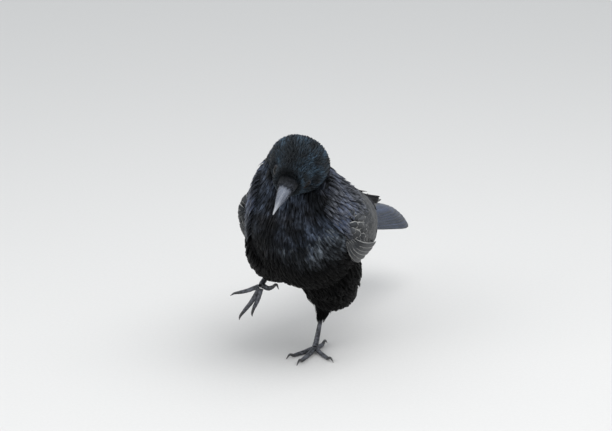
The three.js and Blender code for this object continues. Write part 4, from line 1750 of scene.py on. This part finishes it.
@dataclass
class Tail(Part):
    """Twelve rectrices folded one over the other, with coverts above and below their roots."""

    count: int = 12
    width: float = 25.0
    outermost: Span = (0.13, 0.87)  # places of the outer feathers' tips across the tail
    root_line: float = 0.04
    tip_line: float = 1.03
    gather: float = 0.7  # the roots' spread as a share of the tips'
    covert_line: Span = (-0.16, 0.16)  # where the coverts' roots stand along the tail
    covert_length: float = 32.0
    upper_map: Sizes = (0.02, 0.52, 0.98, 0.98)
    lower_map: Sizes = (0.02, 0.02, 0.98, 0.48)

    def build(self) -> None:
        """Lays the rectrices, then the coverts of the upper and of the lower face."""
        piece = self.coat("rectrices", [self.rectrices()], "tail", "flight_feathers")
        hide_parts("tail")
        above, below = TailForm(unwrap=self.upper_map), TailForm(face=-1.0, unwrap=self.lower_map)
        self.coat("tail_coverts", [self.coverts(above, 3.6), self.coverts(below, 4.4)], "mantle")

    def rectrices(self) -> Vanes:
        """The tail's feathers from the right to the left: the further out, the lower each lies.

        Returns:
            The feathers.
        """
        place = np.linspace(*self.outermost, self.count)
        outward = np.abs(place - 0.5) / (0.5 - self.outermost[0])
        root = np.stack([np.full(self.count, self.root_line), 0.5 + (place - 0.5) * self.gather], -1)
        stray = self.rng.uniform(-0.004, 0.004, self.count)
        tip = np.stack([self.tip_line - 0.06 * (1 - place) + stray, place], -1)
        return Vanes(
            TailForm(), FLIGHT_VANE, root, tip, np.full(self.count, self.width), -0.9 - 0.6 * outward,
            0.5 - 1.1 * outward, np.full(self.count, 0.4), cup=0.7, thick=0.5, wear=0.05,
            tone=self.rng.uniform(-0.12, 0.12, self.count),
        )

    def coverts(self, form: TailForm, spread: float) -> Vanes:
        """Round feathers over the root of one face, lower the further back they grow.

        Args:
            form: the face.
            spread: how high the first of them stand.

        Returns:
            The feathers.
        """
        root = scatter(form, self.covert_line, (0.0, 0.999), (4.2, 4.6), self.rng)
        vary = self.rng.uniform(-1, 1, (4, len(root)))
        first, last = self.covert_line
        fade = np.clip((root[:, 0] - first) / (last - first), 0, 1)
        return Vanes(
            form, ROUND_VANE, root, lay(form, root, self.covert_length + 5 * vary[0], 0.1 * vary[1]),
            9.5 + vary[2], spread * (0.6 - 1.0 * fade) - 1.0, spread * (1 - 0.8 * fade) + 0.4 * vary[3],
            np.full(len(root), 0.12), bow=0.8, cup=0.7, thick=0.4, wear=0.1, tone=0.2 * vary[1],
        )


@dataclass
class Bill(Part):
    """Upper and lower bill with the bristles over their base."""

    bristles: int = 900
    ruff: int = 520
    size: Rings = (90, 64)
    start: float = 0.04
    swell: float = 0.3  # of the bristles' form over the horn
    keel: float = 0.35
    seam: float = -0.22
    hollow: float = -0.5

    def build(self) -> None:
        """Shapes both halves and lays the bristles."""
        for upper, node in ((True, "bill_upper"), (False, "bill_lower")):
            form = BillForm(upper=upper)
            t, v = grid(self.start, 1.0, *self.size)
            piece = self.mesh(f"{node}_horn", closed_rings(self.carve(form, t, v)), grid_faces(*self.size))
            set_uv(piece, "Length", along_map(t, v))
            self.dress(piece, "bill", "bill_horn")
            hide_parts(node)
        self.lay_bristles()

    def carve(self, form: BillForm, t: Array, v: Array) -> Array:
        """A keel along the culmen, a rolled cutting edge and a shallow hollow at each side of the base.

        Each is a bell across its own line, and all fade out towards the tip.

        Args:
            form: one half of the bill.
            t: along it.
            v: round it.

        Returns:
            The points.
        """
        s = np.sin(2 * np.pi * v)
        keel = np.exp(-(((v - 0.25) / 0.045) ** 2)) * (self.keel if form.upper else 0.0)
        seam = np.exp(-(((np.abs(s) - 0.62) / 0.16) ** 2)) * self.seam
        hollow = np.exp(-(((t - 0.3) / 0.12) ** 2) - (((np.abs(v - 0.25) - 0.14) / 0.05) ** 2)) * self.hollow
        push = (keel + seam + hollow * form.upper) * (1 - t**2)
        return form.point(t, v) + form.normal(np.clip(t, 0.002, 0.995), v) * push[..., None]

    def lay_bristles(self) -> None:
        """Stiff fine bristles that run forward over the nostrils, and a short ruff all round the base."""
        form = BillForm(swell=self.swell)
        draw = self.rng.uniform(0, 1, (5, self.bristles))
        v = 0.25 + (draw[0] - 0.5) * 0.52
        side = np.abs(v - 0.25) / 0.26
        root = np.stack([0.05 + 0.17 * draw[1] * (1 - 0.3 * side), v], -1)
        turn = (draw[3] - 0.5) * 0.4 - np.sign(v - 0.25) * 0.05
        tip = lay(form, root, 7 + 9 * draw[2] ** 2 - 2 * side, turn)
        top = Vanes(
            form, NARROW_LOCK, root, tip, 0.7 + 0.4 * draw[4], -0.2 + 0.6 * draw[3], 0.3 + 0.9 * draw[1],
            np.zeros(self.bristles), bow=0.4, cup=0.02, thick=0.32, wear=0.9 * draw[3] - 0.1,
            tone=0.8 * (draw[2] - 0.5),
        )
        draw = self.rng.uniform(0, 1, (5, self.ruff))
        root = np.stack([0.02 + 0.09 * draw[1], draw[0]], -1)
        tip = lay(form, root, 4.5 + 3 * draw[2], (draw[3] - 0.5) * 0.5)
        ruff = Vanes(
            form, NARROW_LOCK, root, tip, 0.8 + 0.4 * draw[4], 0.1 + 0.8 * draw[3], 0.2 + 0.8 * draw[4],
            np.zeros(self.ruff), bow=0.3, cup=0.02, thick=0.32, wear=0.3 * draw[3] - 0.3,
            tone=0.6 * (draw[2] - 0.5),
        )
        self.coat("nasal_bristles", [top, ruff], "bristle")


@dataclass
class Eye(Part):
    """One eye: a wet ball with a cornea and the ring of its lids."""

    side: Side
    tilt: float = 34.0  # how far the lids' ring looks ahead, in degrees
    opening: float = 0.7  # share of the radius where the lids open
    ball_size: Rings = (40, 48)
    ball_share: float = 0.985  # the ball's radius as a share of the node's
    cornea: float = 0.045  # rise of the front, as a share of the radius
    lid_size: Rings = (72, 16)  # steps round the eye and round the rim
    lid_radius: float = 4.45
    lid_height: float = 4.35
    rim: Span = (0.95, 0.25)  # half the rim's width, and how much it widens at the corners
    rim_thickness: float = 0.5

    @property
    def axes(self) -> tuple[Array, Array, Array]:
        """The eye's outward direction, and the two directions across it."""
        turn = math.radians(self.tilt)
        out = unit(HEAD_LEFT * self.side.value * math.cos(turn) + HEAD_FORWARD * math.sin(turn))
        rise = unit(HEAD_UP - out * np.dot(HEAD_UP, out))
        return out, rise, np.cross(rise, out)

    @property
    def middle(self) -> Array:
        """The middle of the ball."""
        return in_head(self.side.value * EYE_SPREAD, 0, 0)

    @property
    def front(self) -> Array:
        """The middle of the eye's opening."""
        return self.middle + self.axes[0] * self.opening * EYE_RADIUS

    def turned(self, radius: Array, height: Array, turn: Array) -> Array:
        """Points at a radius from the eye's axis and a height along it, round by a turn in radians."""
        out, rise, along = self.axes
        around = rise * np.sin(turn)[..., None] + along * np.cos(turn)[..., None]
        return self.middle + out * height[..., None] + around * radius[..., None]

    def build(self) -> None:
        """Ball and lids."""
        self.ball()
        self.lids()

    def ball(self) -> None:
        """A sphere whose front is raised by the cornea; its marks hold the distance from the pupil."""
        rings, around = self.ball_size
        polar, turn = grid(0.05, np.pi - 0.05, rings, around)
        turn = turn * 2 * np.pi
        radius = EYE_RADIUS * self.ball_share * (1 + self.cornea * smoothstep(0.85, 0.2, polar))
        points = closed_rings(self.turned(radius * np.sin(polar), radius * np.cos(polar), turn))
        piece = self.mesh(f"eyeball_{self.side.word}", points, grid_faces(rings, around, flip=True))
        away = np.where(polar < np.pi / 2, np.sin(polar), 1.0)
        away = np.concatenate([away.ravel(), [0.0, 1.0]])
        set_marks(piece, np.column_stack([away * 1.1, away * 0, away * 0, away * 0 + 1]))
        self.dress(piece, "eye", "eye")
        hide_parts(f"eye_{self.side.word}")

    def lids(self) -> None:
        """A rolled rim on the ball, almond-shaped, that runs out under the feathers in small folds.

        The rim's radius is the almond's plus an ellipse round its edge; the folds are two sine waves.
        """
        around, steps = self.lid_size
        i, j = numbered(around, steps)
        turn, s = i / around * 2 * np.pi, j / steps * 2 * np.pi
        almond = self.lid_radius + 0.3 * np.cos(2 * turn) - 0.3 * np.maximum(np.sin(turn), 0) ** 3
        fold = 0.07 * np.sin(22 * turn) + 0.10 * np.sin(9 * turn + 1)
        wide = self.rim[0] + self.rim[1] * np.cos(2 * turn)
        radius = almond + wide + wide * np.cos(s)
        height = self.lid_height - 0.55 * (radius - almond) + (self.rim_thickness + fold) * np.sin(s)
        points = self.turned(radius, height, turn)
        here, there = i * steps, (i + 1) % around * steps
        k = (j + 1) % steps
        quads = np.stack([here + j, here + k, there + k, there + j], -1).reshape(-1, 4)
        piece = self.mesh(f"eyelids_{self.side.word}", points, [quads[:, ::-1]])
        self.dress(piece, "lid", "leg_skin")


@dataclass(frozen=True)
class Toe:
    """One toe: its joints from the foot's middle, its claw's last two points, and its radius."""

    joints: tuple[Place, ...]
    claw: tuple[Place, ...]
    radius: float


STANDING_TOES = {
    "hind": Toe(((0, -1, 3.6), (1, -9, 2.2), (2, -17, 1.8)), ((2.4, -24, 4.2), (2.8, -30, 0.3)), 2.5),
    "inner": Toe(((-2, 2, 3.6), (-9, 13, 2.1), (-15, 23, 1.7)), ((-18, 28, 3.6), (-20, 32.5, 0.3)), 2.3),
    "middle": Toe(((0, 3, 3.6), (-1, 19, 2.1), (-2, 35, 1.8)), ((-2.4, 41, 3.8), (-3, 47, 0.3)), 2.4),
    "outer": Toe(((2, 2, 3.6), (12, 11, 2.0), (21, 19, 1.6)), ((25.5, 22.5, 3.4), (29.5, 25.5, 0.3)), 2.2),
}
SWINGING_TOES = {
    "hind": Toe(((2, -1, 0), (8, 0, -1.5), (12.5, 0, 0)), ((17, 0, 3.5), (20, 1, -1)), 2.5),
    "inner": Toe(((1, 2, -2), (-1, 7, -13), (-4.5, 9.5, -21.5)), ((-6, 10.5, -27), (-7, 8, -31.5)), 2.3),
    "middle": Toe(((-1, 2, -2), (-7, 9.5, -15), (-14, 14, -25)), ((-17.5, 15, -30), (-20, 12, -35.5)), 2.4),
    "outer": Toe(((-2, 1, 0), (-12, 7, -4), (-20, 10.5, -6)), ((-25, 12, -7), (-30, 11, -10.5)), 2.2),
}


@dataclass
class Foot(Part):
    """One bare shank with its scutes, four toes with their pads, and four claws."""

    side: Side
    legs: Legs
    around: int = 32
    shank_scutes: float = 22.0
    toe_scutes: float = 13.0
    toe_taper: Sizes = (1.1, 1.0, 0.85)  # of the toe's radius
    claw_taper: Span = (0.75, 0.55)
    claw_point: float = 0.3
    claw_size: Rings = (40, 20)
    scute_rise: float = 0.18  # of the limb's radius, like the next two
    pad_rise: float = 0.10
    grain_depth: float = 0.04
    pad_length: float = 2.6  # in scutes

    @property
    def standing(self) -> bool:
        """Whether this foot bears the bird."""
        return self.side is Side.LEFT

    def build(self) -> None:
        """The shank, then each toe and its claw."""
        word, shank = self.side.word, self.legs.shank(self.side)
        self.scaled(f"tarsus_{word}", shank, f"shank_{word}", 150, self.shank_scutes, (0.05, 1.0))
        foot = at(*self.legs.shank_knots[self.side][-1])
        if self.standing:
            foot[2] = 0.0
        for name, toe in (STANDING_TOES if self.standing else SWINGING_TOES).items():
            knots = [foot + at(*p) for p in toe.joints]
            digit = LimbForm(knots=np.array(knots), radii=tuple(toe.radius * k for k in self.toe_taper))
            self.scaled(f"digit_{word}_{name}", digit, f"toe_{word}_{name}", 90, self.toe_scutes, (0.0, 1.0))
            nail = LimbForm(
                knots=np.array([knots[-1], *(foot + at(*p) for p in toe.claw)]),
                radii=(*(k * toe.radius for k in self.claw_taper), self.claw_point),
            )
            self.claw(f"nail_{word}_{name}", nail, f"claw_{word}_{name}")

    def ground(self, points: Array) -> Array:
        """The bearing foot's underside is flat on the ground."""
        if self.standing:
            points[..., 2] = np.maximum(points[..., 2], 0.0)
        return points

    def scaled(self, name: str, form: LimbForm, node: str, rings: int, scutes: float, span: Span) -> None:
        """A limb with overlapping scutes on its front, pads below and grain at its sides.

        Each scute rises along a saw of the limb's length, the pads are a cosine of it, and the grain is a
        sine round the limb times one along it. All push the surface out by shares of its radius.

        Args:
            name: the piece's name.
            form: the limb.
            node: the node it replaces.
            rings: how many it has along it.
            scutes: how many it has along it.
            span: where it starts and ends on the form; a toe starts at 0 and is rounded at its end.
        """
        u, v = grid(*span, rings, self.around)
        points = form.point(u, v)
        outward = form.normal(np.clip(u, 0.004, 0.996), v)
        middle = form.spine(u)[0]
        saw = (u * scutes) % 1.0
        step = smoothstep(0.0, 0.16, saw) * (1 - 0.25 * saw)
        facing = self.front(form, outward)
        front, back = smoothstep(-0.2, 0.35, facing), smoothstep(0.3, 0.8, -facing)
        pads = 0.5 + 0.5 * np.cos(2 * np.pi * (u * scutes / self.pad_length))
        fine = 0.5 + 0.5 * np.sin(v * 2 * np.pi * 9) * np.sin(u * scutes * 4.4)
        rise = self.scute_rise * (step - 0.8) * front + self.pad_rise * (pads - 0.6) * back
        push = np.linalg.norm(points - middle, axis=-1) * (rise - self.grain_depth * (1 - front) * (1 - fine))
        points = points + outward * push[..., None]
        if span[0] == 0.0:
            rounding = 0.7 + 0.3 * np.sqrt(1 - np.clip((u - 0.93) / 0.07, 0, 1) ** 2)
            points = middle + (points - middle) * rounding[..., None]
        points = closed_rings(self.ground(points))
        piece = self.mesh(name, points, grid_faces(rings, self.around))
        height = np.clip(step * front + (1 - front) * (0.35 + 0.5 * fine), 0, 1).ravel()
        height = np.concatenate([height, [0.5, 0.5]])
        set_marks(piece, np.column_stack([height, height, height, np.ones_like(height)]))
        self.dress(piece, "hide", "leg_skin")
        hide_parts(node)

    @staticmethod
    def front(form: LimbForm, outward: Array) -> Array:
        """How far a side looks to the limb's front, 1 to -1: upward for a toe, ahead for a shank."""
        run = unit(form.knots[-1] - form.knots[0])
        ahead = at(0, 1, 0) if abs(run[2]) > 0.55 and len(form.knots) > 3 else at(0, 0.3, 1)
        ahead = unit(ahead - run * np.dot(ahead, run))
        return np.sum(outward * ahead, -1)

    def claw(self, name: str, form: LimbForm, node: str) -> None:
        """A smooth curved claw, closed at its point.

        Args:
            name: the piece's name.
            form: the claw.
            node: the node it replaces.
        """
        u, v = grid(0.0, 1.0, *self.claw_size)
        points = closed_rings(self.ground(form.point(u, v)))
        piece = self.mesh(name, points, grid_faces(*self.claw_size))
        set_uv(piece, "Length", along_map(u, v))
        self.dress(piece, "claw", "claw_horn")
        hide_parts(node)


# ---- Floor, light and camera ----


@dataclass(frozen=True)
class Lamp:
    """A broad soft lamp that looks at the middle of the bird; places and sizes are in metres."""

    name: str
    place: Place
    size: float
    power: float
    target: Place = (0, 0, 0.13)

    def build(self) -> None:
        """Hangs the lamp and turns it to its target."""
        data = bpy.data.lights.new(self.name, "AREA")
        data.size, data.energy = self.size, self.power
        lamp = bpy.data.objects.new(self.name, data)
        bpy.context.scene.collection.objects.link(lamp)
        lamp.location = self.place
        toward = np.array(self.target) - np.array(self.place)
        lamp.rotation_euler = Vector(toward).to_track_quat("-Z", "Y").to_euler()


@dataclass
class Studio:
    """A pale floor, a soft sky and the camera."""

    site: Site
    azimuth: float = 20.0
    elevation: float = 20.0
    distance: float = 2600.0  # from the standing foot, in millimetres
    sight: float = 145.3  # focal length for a sensor this wide
    sensor: float = 36.0
    turn_up: float = 3.14
    turn_left: float = 0.22
    reach: float = 6.0  # half the floor's side, in metres
    gap: float = 0.0002  # under the feet, in metres
    floor_colour: Colour = (0.66, 0.65, 0.64)
    sky: tuple[Colour, Colour] = ((0.42, 0.43, 0.44), (0.93, 0.97, 1.0))  # horizon and zenith
    sky_top: float = 0.9  # where the zenith's colour is reached
    lamps: tuple[Lamp, ...] = (
        Lamp("soft_key", (0.55, -0.2, 1.5), 1.3, 14.0),
        Lamp("soft_front", (-0.9, -1.4, 1.1), 1.2, 9.0),
    )

    def build(self) -> None:
        """Sets the floor, the lights and the camera."""
        self.floor()
        self.light()
        self.camera()
        bpy.context.scene.view_settings.view_transform = "Standard"

    def floor(self) -> None:
        """A wide flat floor just under the feet."""
        side, low = self.reach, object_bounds()[0].z - self.gap
        corners = np.array([(-side, -side, low), (side, -side, low), (side, side, low), (-side, side, low)])
        floor = make_mesh("floor", corners, [np.array([[0, 1, 2, 3]])])
        floor.data.materials.append(Plain("floor_pale", self.floor_colour, 0.9, 900.0, 0.0001, 0.04).build())
        floor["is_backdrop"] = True

    def light(self) -> None:
        """A pale sky all round, with two broad soft lamps above the bird."""
        world = bpy.data.worlds.new("sky")
        bpy.context.scene.world = world
        world.use_nodes = True
        tree = world.node_tree
        background = tree.nodes["Background"]
        background.inputs["Strength"].default_value = 1.0
        direction = tree.nodes.new("ShaderNodeTexCoord")
        parts = tree.nodes.new("ShaderNodeSeparateXYZ")
        ramp = tree.nodes.new("ShaderNodeValToRGB")
        tree.links.new(direction.outputs["Generated"], parts.inputs[0])
        tree.links.new(parts.outputs["Z"], ramp.inputs[0])
        tree.links.new(ramp.outputs[0], background.inputs["Color"])
        for element, place, colour in zip(ramp.color_ramp.elements, (0.0, self.sky_top), self.sky):
            element.position, element.color = place, (*colour, 1.0)
        for lamp in self.lamps:
            lamp.build()

    def camera(self) -> None:
        """Stands the camera at its distance from the foot and turns it off the foot, up and to the left."""
        a, e = math.radians(self.azimuth), math.radians(self.elevation)
        back = np.array([math.sin(a) * math.cos(e), -math.cos(a) * math.cos(e), math.sin(e)])
        data = bpy.data.cameras.new("view")
        data.lens, data.sensor_width = self.sight, self.sensor
        data.clip_start, data.clip_end = 0.05, 50.0
        camera = bpy.data.objects.new("view", data)
        bpy.context.scene.collection.objects.link(camera)
        camera.location = self.site.origin + back * self.distance * MM
        aim = Vector(-back).to_track_quat("-Z", "Y")
        turn = Matrix.Rotation(math.radians(self.turn_left), 4, "Y") @ Matrix.Rotation(
            math.radians(self.turn_up), 4, "X")
        camera.rotation_euler = (aim.to_matrix().to_4x4() @ turn).to_euler()
        bpy.context.scene.camera = camera


def plumages() -> dict[str, Plumage]:
    """The feather finishes, by what wears them.

    Returns:
        The finishes, not built yet.
    """
    even = {"patches": (0.8, 1.2), "blotch": (0.9, 1.1)}
    return {
        "head": Plumage(
            "plumage_head", gloss=(0.015, 0.026, 0.038), specular=0.28, sheen=0.03, barb_depth=0.00001,
            patches=(0.3, 1.6),
        ),
        "neck": Plumage(
            "plumage_neck", deep=(0.0016, 0.0016, 0.0018), worn=(0.030, 0.027, 0.026),
            gloss=(0.028, 0.035, 0.050), specular=0.12, patches=(0.3, 1.7),
        ),
        "breast": Plumage(
            "plumage_breast", deep=(0.0009, 0.0009, 0.0009), worn=(0.006, 0.0057, 0.0054),
            gloss=(0.080, 0.092, 0.108), tint=(0.95, 0.97, 1.0), roughness=(0.55, 0.7), specular=0.05,
        ),
        "shoulder": Plumage(
            "plumage_shoulder", worn=(0.045, 0.046, 0.052), gloss=(0.035, 0.045, 0.075),
            fringe=(0.22, 0.23, 0.27), specular=0.3, patches=(0.4, 1.7), end=(0.6, 0.95),
        ),
        "mantle": Plumage("plumage_mantle", worn=(0.032, 0.031, 0.031), specular=0.3),
        "covert": Plumage(
            "plumage_covert", deep=(0.012, 0.012, 0.013), worn=(0.064, 0.063, 0.062),
            gloss=(0.026, 0.034, 0.050), fringe=(0.44, 0.44, 0.43), specular=0.3, edge=(0.64, 0.92),
            end=(0.88, 0.98), **even,
        ),
        "flight": Plumage(
            "plumage_flight", deep=(0.010, 0.010, 0.012), worn=(0.036, 0.037, 0.040),
            fringe=(0.36, 0.36, 0.36), barbs=150.0, specular=0.16, edge=(0.74, 0.96), end=(0.9, 1.0), **even,
        ),
        "blade": Plumage(
            "plumage_blade", deep=(0.009, 0.009, 0.011), worn=(0.03, 0.03, 0.034), barbs=150.0,
            roughness=(0.7, 0.8), specular=0.05, edge=(0.8, 0.98), end=(0.93, 1.0),
        ),
        # the tail's blue is partly its own blue gloss and partly a painted reflection of the sky
        "tail": Plumage(
            "plumage_tail", deep=(0.028, 0.040, 0.080), worn=(0.040, 0.052, 0.095), barbs=170.0,
            tint=(0.6, 0.8, 1.0), specular=0.5, **even,
        ),
        "bristle": Plumage(
            "plumage_bristle", deep=(0.008, 0.008, 0.009), worn=(0.12, 0.12, 0.13),
            gloss=(0.012, 0.013, 0.016), specular=0.2,
        ),
    }


def make_finishes() -> dict[str, Finish]:
    """Every finish of the bird, by what wears it.

    Returns:
        The materials.
    """
    finishes = plumages() | {
        "skin": SkinFinish("under_skin"),
        "wing_bed": SkinFinish("wing_down"),
        # the bill's blue-grey middle is partly the horn's own grey and partly a painted reflection of the sky
        "bill": Horn("bill_horn", (0.022, 0.023, 0.028), (0.095, 0.110, 0.150), (0.36, 0.37, 0.39), 0.2),
        "claw": Horn("claw_horn", (0.020, 0.020, 0.022), (0.035, 0.035, 0.038), (0.07, 0.07, 0.07), 0.3),
        "hide": LegHide(),
        "eye": EyeFinish(),
        "lid": Plain("eyelid_dark", (0.030, 0.031, 0.036), 0.45, specular=0.4),
    }
    return {wearer: finish.build() for wearer, finish in finishes.items()}


def main() -> None:
    """Builds the bird on the frame, part by part, then the floor, the lights and the camera."""
    logging.basicConfig(level=logging.INFO, format="%(message)s")
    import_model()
    site = Site.from_eyes()
    legs = Legs()
    finishes = make_finishes()
    Skin(site, finishes, legs).build()
    BodyCoat(site, finishes, legs, seed=7).build()
    Wing(site, finishes, Side.LEFT, (0.0, 0.0), seed=22).build()
    # the far wing is darkened with painted shade
    Wing(site, finishes, Side.RIGHT, (3.5, 4.0), dim=0.15, seed=20).build()
    Tail(site, finishes, seed=33).build()
    Bill(site, finishes, seed=5).build()
    for side in Side:
        Eye(site, finishes, side).build()
        Foot(site, finishes, side, legs).build()
    Studio(site).build()


if __name__ == "__main__":
    main()
